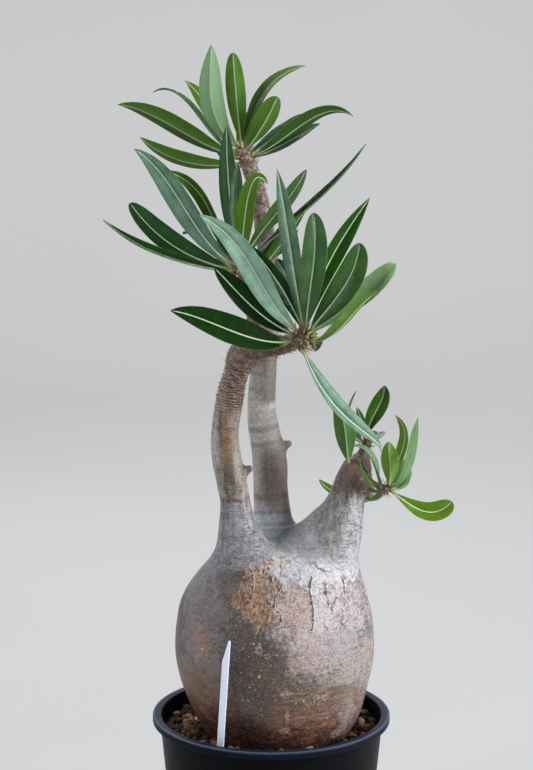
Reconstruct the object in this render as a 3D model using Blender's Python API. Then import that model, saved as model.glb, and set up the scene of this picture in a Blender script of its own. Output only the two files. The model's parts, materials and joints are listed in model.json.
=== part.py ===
"""A potted pachypodium: a bottle-shaped succulent with three branches and heads of long leaves,
standing in gritty soil in a round plastic nursery pot with a plastic plant label.

The origin is the middle of the pot's underside and +Z is up. The plant's front faces -Y.
"""

import math
import random
from collections import namedtuple

import bmesh
import bpy
import numpy as np
from mathutils import Vector
from mathutils.bvhtree import BVHTree

# Every length below is in millimetres. MM turns it into metres where a mesh is made.
MM = 0.001
GAP = 0.4
GOLDEN_ANGLE = math.radians(137.5)

# The pot: a 15 cm round nursery pot with a turned-out rim.
POT_HEIGHT = 128.0
POT_RIM_R = 75.0
POT_MOUTH_R = 69.5
POT_NECK_R = 70.5
POT_BASE_R = 58.5
POT_WALL = 1.6
POT_RIM_THICK = 2.0
POT_LIP_DROP = 4.5
POT_FLOOR = 2.4
POT_FOOT_INNER_R = 49.0
POT_PAD_R = 15.0
POT_RECESS = 1.6
POT_SIDES = 48
DRAIN_HOLES = 8
DRAIN_HOLE_R = 4.5
DRAIN_RING_R = 33.0
DRAIN_SIDES = 12

# The soil: a gritty mix that fills the pot to 10 mm below its rim.
SOIL_TOP = 118.0
SOIL_SIDES = 40
GRAIN_COUNT = 70
GRAIN_R = (2.6, 4.6)
GRAIN_RIM_SPACE = 5.4
GRAIN_SEED = 11

# The label: a narrow strip of white plastic with a slanting point, leaning out over the belly.
LABEL_TIP = (-26.5, -65.0, 195.0)
LABEL_SOIL_POINT = (-31.5, -56.5, SOIL_TOP)
LABEL_LENGTH = 110.0
LABEL_WIDTH = 4.4
LABEL_THICK = 0.8
LABEL_POINT = 14.0
LABEL_TURN = math.radians(-20)

# The swollen stem, turned about its own upright axis: (height, radius) from its root upwards.
BELLY_PROFILE = (
    (56, 0), (58, 9), (66, 21), (80, 31), (96, 38), (112, 43.5), (120, 48), (136, 55), (162, 61.2),
    (180, 61.8), (200, 58.6), (213, 52.2), (224, 43), (231, 32), (235, 18), (236.5, 0),
)
BELLY_AXIS_LOW = 4.2
BELLY_AXIS_HIGH = 1.6
BELLY_AXIS_TURN = (118.0, 165.0)
BELLY_SIDES = 32
BELLY_UNEVEN = 1.1
BELLY_UNEVEN_FROM = (128.0, 150.0)
HOLE_GAP = 0.6

# Branches: points (x, y, z, radius) along each, and the width of the fillet where it joins.
Branch = namedtuple("Branch", "points fillet")
BRANCHES = {
    "left_stem": Branch((
        (-15, -11, 216, 21), (-18.5, -15, 240, 15.5), (-21, -18, 257, 11.2), (-22.5, -19, 271, 9.3),
        (-25, -20, 285, 9.2), (-27.6, -21, 299, 9.1), (-28, -22, 315, 8.5), (-25.5, -23, 333, 8.6),
        (-22.5, -24, 346, 7.6), (-17.5, -25, 361, 7.4)), 15),
    "back_stem": Branch((
        (0, 14, 216, 20), (1, 22, 242, 13.5), (-0.5, 26, 266, 11), (-1, 27, 284, 11.3),
        (-3.6, 27, 299, 10.2), (-5.7, 27, 313, 9.7), (-5.8, 27, 331, 8.9), (-4.6, 27, 346, 8.2),
        (-2, 26, 375, 7.4), (-0.8, 25, 397, 6.7), (-1.4, 24, 412, 6.3), (-4, 24, 428, 6.2),
        (-6, 24, 444, 5.9), (-9, 24, 458, 5.5), (-13, 24, 469, 5.1), (-17.5, 24, 479, 4.6)), 15),
    "right_stem": Branch((
        (26, 2, 214, 27), (35, 3, 237, 21), (42.5, 4, 252, 15.2), (47, 6, 264, 12),
        (50.5, 7, 275, 11), (53, 8, 283, 9.4)), 14),
    "front_branch": Branch((
        (-18, -25, 358, 7.4), (-9, -29, 365, 6.8), (3, -36, 368, 6.0), (13, -42, 371.5, 5.3),
        (20, -46.5, 375, 4.6)), 5),
    "rear_branch": Branch((
        (-18, -25, 360, 7), (-11, -22, 377, 5.6), (-8.5, -20, 393, 5.1), (-13, -18, 404, 4.7),
        (-19, -16, 412.5, 4.2)), 5),
    "right_shoot": Branch(((55, 10, 281, 6.5), (58, 12, 294, 3.6), (60.5, 14, 300.5, 2.9)), 4),
    "low_shoot": Branch(((53, 5, 276, 7), (60, 1, 274.5, 4.8), (66, -2, 273.6, 3.5),
                         (71.5, -4, 273.5, 2.9)), 5),
    "left_bud": Branch(((-24, -20, 285, 5), (-17, -20, 288, 3.3), (-13.5, -20, 289.8, 2.4)), 3),
    "back_bud": Branch(((-2, 27, 289, 6), (7, 27, 293.5, 3.6), (10.8, 27, 295.6, 2.5)), 3),
}
BRANCH_STEP = 3.2

# Beyond NEAR of a branch its distance isn't worked out, and counts as FAR.
NEAR = 20.0
FAR = 1e6

# Heads of leaves: the growing tip of each and the direction in which its shoot ends.
Head = namedtuple("Head", "tip axis")
HEADS = {
    "front": Head((20, -46.5, 375), (0.8, -0.45, 0.4)),
    "rear": Head((-19, -16, 412.5), (-0.45, 0.15, 0.88)),
    "top": Head((-17.5, 24, 479), (-0.4, 0, 0.92)),
    "right": Head((60.5, 14, 300.5), (0.35, 0.25, 0.9)),
    "low": Head((71.5, -4, 273.5), (0.9, -0.4, 0.1)),
    "shoulder": Head((48.5, 3, 287), (0, 0, 1)),
}


def leaf(tip, low=(0, 0, 0), high=(0, 0, 0), width=12, face=(0, -1, 0.2), belly=0.55, point=0.7,
         rise=0.95, twist=0, fold=16, drop=0):
    """One leaf, seen from its growing tip. tip is the reach of its point. low and high are how far
    the midrib bows off the straight line at one third and at two thirds of its way. face is where
    the upper side looks. belly is the share of the length where the blade is widest, point runs
    from 0.5 for a round end to 1.2 for a sharp one, and a large rise narrows the foot of the blade.
    twist and fold are in degrees, and drop is how far below the growing tip the leaf is rooted."""
    return dict(tip=tip, low=low, high=high, width=width, face=face, belly=belly, point=point,
                rise=rise, twist=twist, fold=fold, drop=drop)


LEAVES = {
    "front": [
        leaf((-77, -14, 19), (0, -3, -5.5), (0, -2, -2), 19, (0.1, -0.85, 0.5), 0.46, 0.8, drop=3),
        leaf((-53, 6, 41), (-3, 2, -4), (-2, 1, -3), 16, (0.2, -0.8, 0.55), 0.5, 0.65, drop=1),
        leaf((-62, -18, 74), (-1, -6, 1), (4, -5, 3), 15, (-0.35, -0.8, 0.35), 0.5, 0.75, twist=8),
        leaf((-34, 7, 54), (2, 4, 2), (2, 2, 2), 10, (-0.1, -0.75, 0.6), 0.5, 0.7),
        leaf((-17, 24, 44), (2, 6, 4), (1, 4, 3), 13, (-0.1, -0.7, 0.7), 0.55, 0.55),
        leaf((-17, -2, 100), (-0.5, -1, 0), (0, 0, 0), 11.5, (0.15, -1, 0.1), 0.5, 0.95),
        leaf((4, -12, 75), (0.5, -4, 0), (2, -4, 0), 15.5, (0.05, -1, 0.2), 0.62, 0.5),
        leaf((38, 8, 82), (-5, 4, 2), (-4, 3, 2), 12.5, (0.35, -0.9, 0.1), 0.54, 0.95),
        leaf((31, -8, 57), (2, -3, -2), (4, -2, -3), 17, (0.05, -0.95, 0.3), 0.62, 0.5),
        leaf((53, 2, 44), (1, 4, -2), (1, 3, -3), 15, (-0.1, -0.75, 0.65), 0.64, 0.5),
        leaf((42, -22, 31), (1, -4, -7), (0, -3, -3), 14, (-0.5, 0.55, 0.65), 0.55, 0.7, drop=1),
        leaf((9, 30, -12), (3, 3, 3), (2, 1, 4), 11, (0.1, -0.2, 1), 0.5, 0.6, drop=3),
        leaf((50, 20, -72), (3, -3, -15), (7, -2, -11), 13.5, (0.8, -0.5, 0.45), 0.42, 1.1,
             twist=20, fold=24, drop=4),
    ],
    "rear": [
        leaf((-83, -8, 34), (-2, -2, -5), (-3, -2, -6), 13, (0.1, -0.3, 1), 0.42, 1, drop=4),
        leaf((-68, 16, 40), (-4, 3, -7), (-4, 2, -7), 17.5, (0.3, -0.75, 0.6), 0.56, 0.5, drop=2),
        leaf((-63, -6, 72), (-2, -3, -3), (1, -2, 1), 15, (-0.4, -0.75, 0.45), 0.52, 0.85),
        leaf((-48, 8, 58), (3, 3, 3), (7, 3, 6), 10, (-0.65, -0.5, 0.5), 0.5, 1, fold=28),
        leaf((-1, -2, 63), (-1.5, 1, 0), (-1.5, 1, 0), 10, (0.1, -1, 0.15), 0.58, 0.7, fold=32),
        leaf((-8, 14, 85), (-2, 4, 0), (-2, 4, 0), 12, (-0.15, -1, 0.1), 0.52, 0.85),
        leaf((17, -12, 51), (-3.5, -6, 6), (-4.6, -5, 15.5), 11.5, (-0.1, -0.9, 0.2), 0.5, 0.8),
        leaf((40, 7, 59), (0, 1, 2), (1, 1, 0), 10.5, (-0.25, -0.85, 0.4), 0.6, 0.7),
        leaf((75, 2, 75), (1, 4, -2), (3, 2, -3), 11, (-0.6, -0.25, 0.75), 0.5, 1.1),
        leaf((38, -10, 37), (2, -6, -6), (1, -4, -4), 11, (-0.3, -0.5, 0.8), 0.55, 0.7, drop=2),
        leaf((34, 40, 22), (9, 2, 4), (6, 2, 6), 14, (0, -0.3, 1), 0.5, 0.7, drop=3),
        leaf((-38, 44, 20), (-2, 3, 2), (-1, 2, 5), 15, (0.1, -0.1, 1), 0.5, 0.7, drop=4),
    ],
    "top": [
        leaf((-77, -14, 32), (0, -2, -2), (0, -2, 2), 15, (0.15, 0.8, 0.6), 0.5, 0.9, drop=2),
        leaf((-65, -10, 16), (1, -2, -7), (0, -2, -8), 13, (0.1, 0.75, 0.65), 0.52, 0.9, drop=6),
        leaf((-58, 28, 38), (-1, 3, 1), (1, 2, 9), 9, (0, 0.05, 1), 0.5, 1.1, drop=2),
        leaf((-36, 12, 44), (-1, 2, 0), (1, 2, 0), 12, (0.3, -0.9, 0.3), 0.5, 1),
        leaf((-19, -6, 66), (-10, -4, 0), (-7, -4, 0), 15.5, (0.05, 0.95, 0.2), 0.5, 0.85),
        leaf((-6, -4, 61), (-0.5, -2, 0), (-0.5, -2, 0), 12.5, (0, 1, 0.1), 0.58, 0.45),
        leaf((39, 16, 53), (-6, 3, 8), (-7, 2, 8), 10.5, (-0.5, -0.6, 0.6), 0.52, 0.95),
        leaf((21, -14, 35), (1, -3, -1), (1, -3, -1), 15.5, (-0.3, 0.85, 0.4), 0.62, 0.5),
        leaf((67, -10, 24.5), (0, -2, 2), (0, -2, 9), 12.5, (-0.1, 0.7, 0.7), 0.5, 1.2, drop=2),
        leaf((46, -2, 22), (1, 0, -2), (1, 0, -1), 11, (-0.2, -0.6, 0.75), 0.5, 0.9, drop=4),
        leaf((37, 26, 25), (1, 3, -1), (1, 2, 0), 11, (-0.3, -0.4, 0.85), 0.5, 0.8, drop=2),
        leaf((4, 44, 24), (0, 4, -2), (0, 3, 2), 14, (0, -0.6, 0.8), 0.52, 0.7, drop=1),
        leaf((-18, 46, 0), (0, 3, 2), (0, 2, 5), 14, (0, -0.1, 1), 0.5, 0.75, drop=5),
    ],
    "right": [
        leaf((-7, 2, 21), (0, 0, 0), (0, 0, 0), 5, (0.2, 0.9, 0.2), 0.5, 0.8),
        leaf((10, 5, 34), (-1.5, 1, 0), (1, 1, 0), 11.5, (-0.15, -0.95, 0.2), 0.58, 0.65),
        leaf((9, 25, 0), (3, 2, 1), (2, 2, 2), 9, (0, -0.4, 0.9), 0.58, 0.6, drop=1),
        leaf((-12, 23, 3), (-3, 2, 1), (-2, 2, 3), 9, (0, -0.2, 1), 0.58, 0.6, drop=2),
    ],
    "low": [
        leaf((0.5, -5, 31), (2, 2, 0), (1, 1, 0), 11.5, (0, 0.9, 0.3), 0.5, 0.7),
        leaf((5, 7, 45), (5, 7, -1), (8, 5, 0), 8.5, (-0.6, -0.65, 0.35), 0.5, 0.85),
        leaf((18.5, -6, 47), (5, -4, -4), (3.5, -2, -3), 8.5, (-0.65, -0.6, 0.4), 0.5, 0.9),
        leaf((14.5, 3, 18), (4, 3, -6), (4, 3, -6), 10, (-0.5, -0.5, 0.7), 0.55, 0.6, drop=1),
        leaf((40, -8, -6), (-1, -2, -5.5), (-1, -2, -9), 13, (0.1, -0.85, 0.5), 0.74, 0.45, 1.3),
        leaf((-39, 38, -2), (6, 15, -13), (1, 10, -11), 12, (0.1, -0.5, 0.85), 0.5, 0.7, drop=2),
        leaf((-19, -16, 31), (3, -6, 1), (4, -5, 4), 8, (0.45, -0.4, 0.8), 0.5, 0.7, fold=24, drop=3),
        leaf((-12.5, -13, 22), (-2, -8, -2), (-2, -6, -1), 6, (0.8, -0.3, 0.5), 0.5, 0.8, fold=30,
             drop=5),
        leaf((12, 34, 12), (2, 3, 1), (1, 2, 3), 11, (0, -0.3, 1), 0.58, 0.6, drop=1),
    ],
    "shoulder": [
        leaf((-9, -6, 43), (1, -2, 0), (2, -2, 0), 13.5, (0, 0.95, 0.2), 0.52, 0.65),
        leaf((5, 14, 44), (-4, 5, 0), (-4, 5, 1), 5.5, (1, -0.25, 0.1), 0.5, 0.8),
    ],
}
LEAF_GAP = 0.35
MIDRIB_POINTS = 481
PETIOLE_W = 2.1
LEAF_EDGE = 0.6
LEAF_RIB = 1.1
LEAF_BULGE = 0.05
LEAF_STATIONS = (0, 0.1, 0.25, 0.42, 0.59, 0.75, 0.88, 0.96, 1)
SHORT_STATIONS = (0, 0.16, 0.4, 0.64, 0.84, 0.95, 1)
SHORT_LEAF = 48.0
LEAF_SHOULDER = 2.2
LEAF_POINT_W = 1.3

# Spines: in pairs, thickest on the young wood. Each run is (branch, start share, pairs).
SPINE_RUNS = (
    ("left_stem", 0.62, 14), ("back_stem", 0.62, 16), ("front_branch", 0.15, 9),
    ("rear_branch", 0.2, 9), ("right_shoot", 0.45, 2), ("low_shoot", 0.3, 3),
)
SPINE_LENGTH = 4.6
SPINE_R = 0.55
SPINE_ROOT = 1.2
SPINE_SPREAD = math.radians(24)
SPINE_RISE = 0.75
SPINE_CLEARANCE = 1.2
ENVELOPE_STEP = 12

# The skin of the plant: the grid that melts its pieces together, and its faces at the end.
PLANT_VOXEL = 2.4
PLANT_FACES = 2900
SETTLE_ROUNDS = 3


def clear_scene():
    for obj in list(bpy.data.objects):
        bpy.data.objects.remove(obj)


def make_material(name, colour, roughness, metallic=0.0):
    material = bpy.data.materials.new(name)
    material.use_nodes = True
    shader = material.node_tree.nodes["Principled BSDF"]
    shader.inputs["Base Color"].default_value = (*colour, 1)
    shader.inputs["Roughness"].default_value = roughness
    shader.inputs["Metallic"].default_value = metallic
    return material


def make_object(name, points, faces, material=None, origin=(0, 0, 0), sharp_angle=40):
    """An object whose mesh has these points, in millimetres and seen from the object's origin."""
    mesh = bpy.data.meshes.new(name)
    place = np.asarray(origin, float)
    mesh.from_pydata(((np.asarray(points, float) - place) * MM).tolist(), [], faces)
    if material:
        mesh.materials.append(material)
    obj = bpy.data.objects.new(name, mesh)
    bpy.context.scene.collection.objects.link(obj)
    obj.location = Vector(place) * MM
    mesh.shade_smooth()
    mesh.set_sharp_from_angle(angle=math.radians(sharp_angle))
    return obj


def mesh_points(mesh):
    points = np.empty(len(mesh.vertices) * 3)
    mesh.vertices.foreach_get("co", points)
    return points.reshape(-1, 3)


def applied(obj):
    """The object with its modifiers worked into its mesh."""
    graph = bpy.context.evaluated_depsgraph_get()
    mesh = bpy.data.meshes.new_from_object(obj.evaluated_get(graph))
    obj.modifiers.clear()
    obj.data = mesh
    return obj


def turned(profile, sides, axis=(0, 0)):
    """Points and faces of a profile of (height, radius) turned about an upright axis. The profile
    starts and ends on the axis, and runs with the solid on its left."""
    points, rings = [], []
    for height, radius in profile:
        if radius < 1e-6:
            rings.append([len(points)] * sides)
            points.append((axis[0], axis[1], height))
            continue
        rings.append([len(points) + i for i in range(sides)])
        for i in range(sides):
            angle = 2 * math.pi * i / sides
            points.append((axis[0] + radius * math.cos(angle), axis[1] + radius * math.sin(angle),
                           height))
    faces = []
    for low, high in zip(rings, rings[1:]):
        for i in range(sides):
            corners = (low[i], low[(i + 1) % sides], high[(i + 1) % sides], high[i])
            faces.append(tuple(dict.fromkeys(corners)))
    return points, faces


def pot_inner_radius(height):
    """The radius of the inside of the pot's wall."""
    share = height / (POT_HEIGHT - POT_LIP_DROP)
    return POT_BASE_R + (POT_NECK_R - POT_BASE_R) * share - POT_WALL


def make_pot(material):
    rim_under = POT_HEIGHT - POT_RIM_THICK
    floor_top = POT_RECESS + POT_FLOOR
    profile = (
        (0, 0), (0, POT_PAD_R), (POT_RECESS, POT_PAD_R + 2), (POT_RECESS, POT_FOOT_INNER_R - 2),
        (0, POT_FOOT_INNER_R), (0, POT_BASE_R), (rim_under - 1, POT_NECK_R),
        (rim_under, POT_NECK_R + 1), (rim_under, POT_RIM_R - 1.6),
        (POT_HEIGHT - POT_LIP_DROP, POT_RIM_R - 1.4), (POT_HEIGHT - POT_LIP_DROP, POT_RIM_R),
        (POT_HEIGHT - 1.2, POT_RIM_R), (POT_HEIGHT, POT_RIM_R - 1.2), (POT_HEIGHT, POT_MOUTH_R + 0.8),
        (POT_HEIGHT - 1.2, POT_MOUTH_R), (floor_top, pot_inner_radius(floor_top)), (floor_top, 0),
    )
    pot = make_object("pot", *turned(profile, POT_SIDES), material)
    for number in range(DRAIN_HOLES):
        angle = 2 * math.pi * (number + 0.5) / DRAIN_HOLES
        axis = (DRAIN_RING_R * math.cos(angle), DRAIN_RING_R * math.sin(angle))
        below, above = -POT_FLOOR, POT_RECESS + 2 * POT_FLOOR
        hole = ((below, 0), (below, DRAIN_HOLE_R), (above, DRAIN_HOLE_R), (above, 0))
        cut(pot, make_object(f"drain_cutter_{number}", *turned(hole, DRAIN_SIDES, axis)))
    return pot


def cut(obj, cutter):
    """Cuts one object by another and removes the cutter."""
    modifier = obj.modifiers.new("cut", "BOOLEAN")
    modifier.object = cutter
    modifier.operation = "DIFFERENCE"
    applied(obj)
    bpy.data.objects.remove(cutter)


def join_all(obj, pieces):
    """Joins many small closed pieces to an object in one union, and removes them."""
    group = bpy.data.collections.new("pieces")
    bpy.context.scene.collection.children.link(group)
    for piece in pieces:
        bpy.context.scene.collection.objects.unlink(piece)
        group.objects.link(piece)
    modifier = obj.modifiers.new("join", "BOOLEAN")
    modifier.operation = "UNION"
    modifier.operand_type = "COLLECTION"
    modifier.collection = group
    applied(obj)
    for piece in pieces:
        bpy.data.objects.remove(piece)
    bpy.data.collections.remove(group)


def smooth_step(value, low, high):
    share = np.clip((np.asarray(value, float) - low) / (high - low), 0, 1)
    return share * share * (3 - 2 * share)


def spline(points, step):
    """Points along a smooth curve through the given ones, about one step apart."""
    points = np.asarray(points, float)
    padded = np.vstack([2 * points[0] - points[1], points, 2 * points[-1] - points[-2]])
    found = []
    for a, b, c, d in zip(padded, padded[1:], padded[2:], padded[3:]):
        count = max(1, round(np.linalg.norm(c[:3] - b[:3]) / step))
        for t in np.arange(count) / count:
            found.append(0.5 * (2 * b + (c - a) * t + (2 * a - 5 * b + 4 * c - d) * t * t
                                + (3 * b - a - 3 * c + d) * t ** 3))
    found.append(points[-1])
    return np.array(found)


BRANCH_LINES = {name: spline(branch.points, BRANCH_STEP) for name, branch in BRANCHES.items()}
BELLY_LINE = spline([(radius, 0, height) for height, radius in BELLY_PROFILE], 3)[:, [0, 2]]
BELLY_LINE[:, 0] = np.maximum(BELLY_LINE[:, 0], 0)


def belly_axis(height):
    """The x of the swollen stem's axis, which leans a little towards +X near the soil."""
    share = smooth_step(height, *BELLY_AXIS_TURN)
    return BELLY_AXIS_LOW + (BELLY_AXIS_HIGH - BELLY_AXIS_LOW) * share


def belly_distance(points):
    """How far each point lies outside the swollen stem."""
    x = points[:, 0] - belly_axis(points[:, 2])
    radius = np.hypot(x, points[:, 1])
    angle = np.arctan2(points[:, 1], x)
    uneven = np.sin(2 * angle + 0.8) + 0.6 * np.sin(3 * angle + 2 + points[:, 2] / 30)
    radius = radius - BELLY_UNEVEN * uneven * smooth_step(points[:, 2], *BELLY_UNEVEN_FROM)
    flat = np.stack([radius, points[:, 2]], 1)
    starts, ends = BELLY_LINE[:-1], BELLY_LINE[1:]
    along = ends - starts
    best = np.full(len(points), FAR)
    side = np.zeros(len(points))
    for start, step in zip(starts, along):
        share = np.clip(((flat - start) @ step) / (step @ step), 0, 1)
        away = flat - start - share[:, None] * step
        distance = np.hypot(away[:, 0], away[:, 1])
        outside = step[1] * away[:, 0] - step[0] * away[:, 1]
        nearer = distance < best - 1e-9
        best = np.where(nearer, distance, best)
        side = np.where(nearer, outside, side)
    return np.where(side > 0, best, -best)


def line_distance(points, line):
    """How far each point lies outside a tapering round branch, for the points anywhere near it."""
    reach = line[:, 3].max() + NEAR
    low, high = line[:, :3].min(axis=0) - reach, line[:, :3].max(axis=0) + reach
    near = ((points > low) & (points < high)).all(axis=1)
    close = points[near]
    best = np.full(len(close), FAR)
    for start, end in zip(line, line[1:]):
        step = end[:3] - start[:3]
        away = close - start[:3]
        share = np.clip((away @ step) / (step @ step), 0, 1)
        away = away - share[:, None] * step
        distance = np.sqrt((away * away).sum(axis=1))
        best = np.minimum(best, distance - start[3] - share * (end[3] - start[3]))
    found = np.full(len(points), FAR)
    found[near] = best
    return found


def blended(first, second, fillet):
    """The union of two distances with a fillet of that width where they meet."""
    overlap = np.maximum(fillet - np.abs(first - second), 0) / fillet
    return np.minimum(first, second) - overlap * overlap * fillet / 4


def plant_distance(points):
    """How far each point lies outside the whole woody plant."""
    found = belly_distance(points)
    for name, branch in BRANCHES.items():
        found = blended(found, line_distance(points, BRANCH_LINES[name]), branch.fillet)
    return found


def plant_slope(points, step=0.05):
    """The direction in which the distance to the plant grows."""
    slope = np.stack([
        plant_distance(points + offset) - plant_distance(points - offset)
        for offset in np.eye(3) * step], 1)
    return slope / np.maximum(np.linalg.norm(slope, axis=1), 1e-9)[:, None]


def onto_plant(points, rounds=2):
    """The points moved onto the plant's surface."""
    for _ in range(rounds):
        points = points - plant_slope(points) * plant_distance(points)[:, None]
    return points


def rough_plant():
    """Overlapping balls and a turned belly, which the voxel remesh melts into one skin."""
    points, faces = turned([(height, radius) for radius, height in BELLY_LINE], BELLY_SIDES,
                           (BELLY_AXIS_LOW, 0))
    points = [(x + belly_axis(z) - BELLY_AXIS_LOW, y, z) for x, y, z in points]
    rough = bmesh.new()
    corners = [rough.verts.new(Vector(point) * MM) for point in points]
    for face in faces:
        rough.faces.new([corners[i] for i in face])
    for line in BRANCH_LINES.values():
        for x, y, z, radius in line:
            ball = bmesh.ops.create_icosphere(rough, subdivisions=2, radius=(radius + 0.6) * MM)
            bmesh.ops.translate(rough, verts=ball["verts"], vec=Vector((x, y, z)) * MM)
    mesh = bpy.data.meshes.new("rough_plant")
    rough.to_mesh(mesh)
    rough.free()
    obj = bpy.data.objects.new("rough_plant", mesh)
    bpy.context.scene.collection.objects.link(obj)
    return obj


def make_skin(material):
    """The woody plant without its spines."""
    rough = rough_plant()
    remesh = rough.modifiers.new("melt", "REMESH")
    remesh.mode = "VOXEL"
    remesh.voxel_size = PLANT_VOXEL * MM
    mesh = applied(rough).data
    settle(mesh)
    fewer = rough.modifiers.new("fewer", "DECIMATE")
    fewer.ratio = PLANT_FACES / (2 * len(mesh.polygons))
    mesh = applied(rough).data
    points = onto_plant(mesh_points(mesh) / MM)
    faces = [tuple(face.vertices) for face in mesh.polygons]
    bpy.data.objects.remove(rough)
    tree = BVHTree.FromPolygons(points.tolist(), faces)
    return make_object("plant", points, faces, material, (BELLY_AXIS_LOW, 0, SOIL_TOP)), tree


def clearance(tree, point):
    """How far a point lies outside the skin's own faces."""
    near, normal, _, distance = tree.find_nearest(Vector(point))
    return distance if (Vector(point) - near).dot(normal) > 0 else -distance


def settle(mesh):
    """Evens out a remeshed skin and lays it on the plant's true surface."""
    points = mesh_points(mesh) / MM
    edges = np.empty(len(mesh.edges) * 2, int)
    mesh.edges.foreach_get("vertices", edges)
    edges = edges.reshape(-1, 2)
    count = np.bincount(edges.ravel(), minlength=len(points))[:, None]
    for _ in range(SETTLE_ROUNDS):
        total = np.zeros_like(points)
        np.add.at(total, edges[:, 0], points[edges[:, 1]])
        np.add.at(total, edges[:, 1], points[edges[:, 0]])
        points = onto_plant(0.5 * points + 0.5 * total / count, 1)
    mesh.vertices.foreach_set("co", (points * MM).ravel())


def frame_about(direction):
    """Two unit directions square to this one and to each other."""
    direction = direction / np.linalg.norm(direction)
    helper = np.array((0, 0, 1.0)) if abs(direction[2]) < 0.9 else np.array((1.0, 0, 0))
    across = np.cross(helper, direction)
    across /= np.linalg.norm(across)
    return across, np.cross(direction, across)


def spines(leaves):
    """The foot and the tip of each spine: pairs, a golden angle apart, clear of the leaves."""
    envelope = leaf_envelope(leaves)
    feet, leans = [], []
    for name, start, pairs in SPINE_RUNS:
        line = BRANCH_LINES[name]
        for pair in range(pairs):
            place = (start + (1 - start) * (pair + 0.5) / pairs) * (len(line) - 1)
            index = min(int(place), len(line) - 2)
            centre = line[index] + (line[index + 1] - line[index]) * (place - index)
            upward = line[index + 1][:3] - line[index][:3]
            across, over = frame_about(upward)
            upward = upward / np.linalg.norm(upward)
            for side in (-1, 1):
                turn = pair * GOLDEN_ANGLE + side * SPINE_SPREAD
                outward = across * math.cos(turn) + over * math.sin(turn)
                feet.append(centre[:3] + outward * centre[3])
                leans.append(outward + upward * SPINE_RISE)
    feet, leans = onto_plant(np.array(feet)), np.array(leans)
    tips = feet + leans / np.linalg.norm(leans, axis=1)[:, None] * SPINE_LENGTH
    return [pair for pair in zip(feet, tips) if clear_of_leaves(*pair, envelope)]


def clear_of_leaves(foot, tip, envelope):
    probes = foot + (tip - foot) * np.linspace(0, 1.1, 6)[:, None]
    distance = np.linalg.norm(probes[:, None] - envelope[None, :, :3], axis=2)
    return bool((distance > envelope[None, :, 3] + SPINE_CLEARANCE).all())


def make_spine(number, foot, tip):
    """A three-sided spine whose root is sunk into the wood."""
    direction = (tip - foot) / np.linalg.norm(tip - foot)
    across, over = frame_about(direction)
    root = foot - direction * SPINE_ROOT
    ring = [root + SPINE_R * (across * math.cos(angle) + over * math.sin(angle))
            for angle in (0, 2 * math.pi / 3, 4 * math.pi / 3)]
    return make_object(f"spine_{number}", [*ring, tip], [(2, 1, 0), (0, 1, 3), (1, 2, 3), (2, 0, 3)])


def midrib(head, shape, tree):
    """Points along a leaf's midrib, from just clear of the skin to the leaf's point."""
    axis = np.array(head.axis) / np.linalg.norm(head.axis)
    root = np.array(head.tip) - axis * shape["drop"]
    reach = np.array(shape["tip"], float)
    low, high = np.array(shape["low"], float), np.array(shape["high"], float)
    first = root + reach / 3 + 3 * low - 1.5 * high
    second = root + 2 * reach / 3 + 3 * high - 1.5 * low
    t = np.linspace(0, 1, MIDRIB_POINTS)[:, None]
    line = ((1 - t) ** 3 * root + 3 * t * (1 - t) ** 2 * first + 3 * t * t * (1 - t) * second
            + t ** 3 * (root + reach))
    slopes = np.gradient(line, axis=0)
    start = max(i for i in range(MIDRIB_POINTS // 2) if i == 0 or clearance(tree, line[i]) < 0)
    while min(clearance(tree, corner)
              for corner in section(line[start], slopes[start], shape, 0)) < LEAF_GAP:
        start += 1
    return line[start:]


def half_width(shape, share):
    """Half the blade's width at a share of its length."""
    belly = shape["belly"]
    if share < belly:
        form = math.sin(math.pi / 2 * share / belly) ** shape["rise"]
    else:
        form = (1 - ((share - belly) / (1 - belly)) ** LEAF_SHOULDER) ** shape["point"]
    least = PETIOLE_W + (LEAF_POINT_W - PETIOLE_W) * share
    return max(shape["width"] * form, least) / 2


def section(here, along, shape, share):
    """The outline of a cut across the blade: two arched halves above and a keel below."""
    along = along / np.linalg.norm(along)
    face = np.array(shape["face"], float)
    up = face - along * (face @ along)
    up /= np.linalg.norm(up)
    side = np.cross(along, up)
    turn, fold = math.radians(shape["twist"]) * share, math.radians(shape["fold"])
    up, side = (up * math.cos(turn) + side * math.sin(turn),
                side * math.cos(turn) - up * math.sin(turn))
    half = half_width(shape, share)
    lift, edge = half * math.sin(fold), half * math.cos(fold)
    middle = 0.5 * lift + LEAF_BULGE * half
    keel = LEAF_RIB * (1 - 0.4 * share)
    cut_line = ((-edge, lift), (-0.5 * edge, middle), (0, 0), (0.5 * edge, middle), (edge, lift),
                (edge, lift - LEAF_EDGE), (0, -keel), (-edge, lift - LEAF_EDGE))
    return [here + side * across + up * height for across, height in cut_line]


def make_leaf(name, line, shape, material):
    """A blade folded along its midrib, with more sections where its outline bends most."""
    lengths = np.concatenate([[0], np.cumsum(np.linalg.norm(np.diff(line, axis=0), axis=1))])
    slopes = np.gradient(line, axis=0)
    stations = SHORT_STATIONS if lengths[-1] < SHORT_LEAF else LEAF_STATIONS
    points = []
    for share in stations:
        here = np.array([np.interp(share * lengths[-1], lengths, line[:, i]) for i in range(3)])
        along = np.array([np.interp(share * lengths[-1], lengths, slopes[:, i]) for i in range(3)])
        points += section(here, along, shape, share)
    around = len(points) // len(stations)
    faces = [tuple(reversed(range(around)))]
    for ring in range(len(stations) - 1):
        low, high = ring * around, (ring + 1) * around
        for i in range(around):
            j = (i + 1) % around
            faces.append((low + i, low + j, high + j, high + i))
    last = (len(stations) - 1) * around
    faces.append(tuple(last + i for i in range(around)))
    return make_object(name, points, faces, material, line[0])


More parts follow.
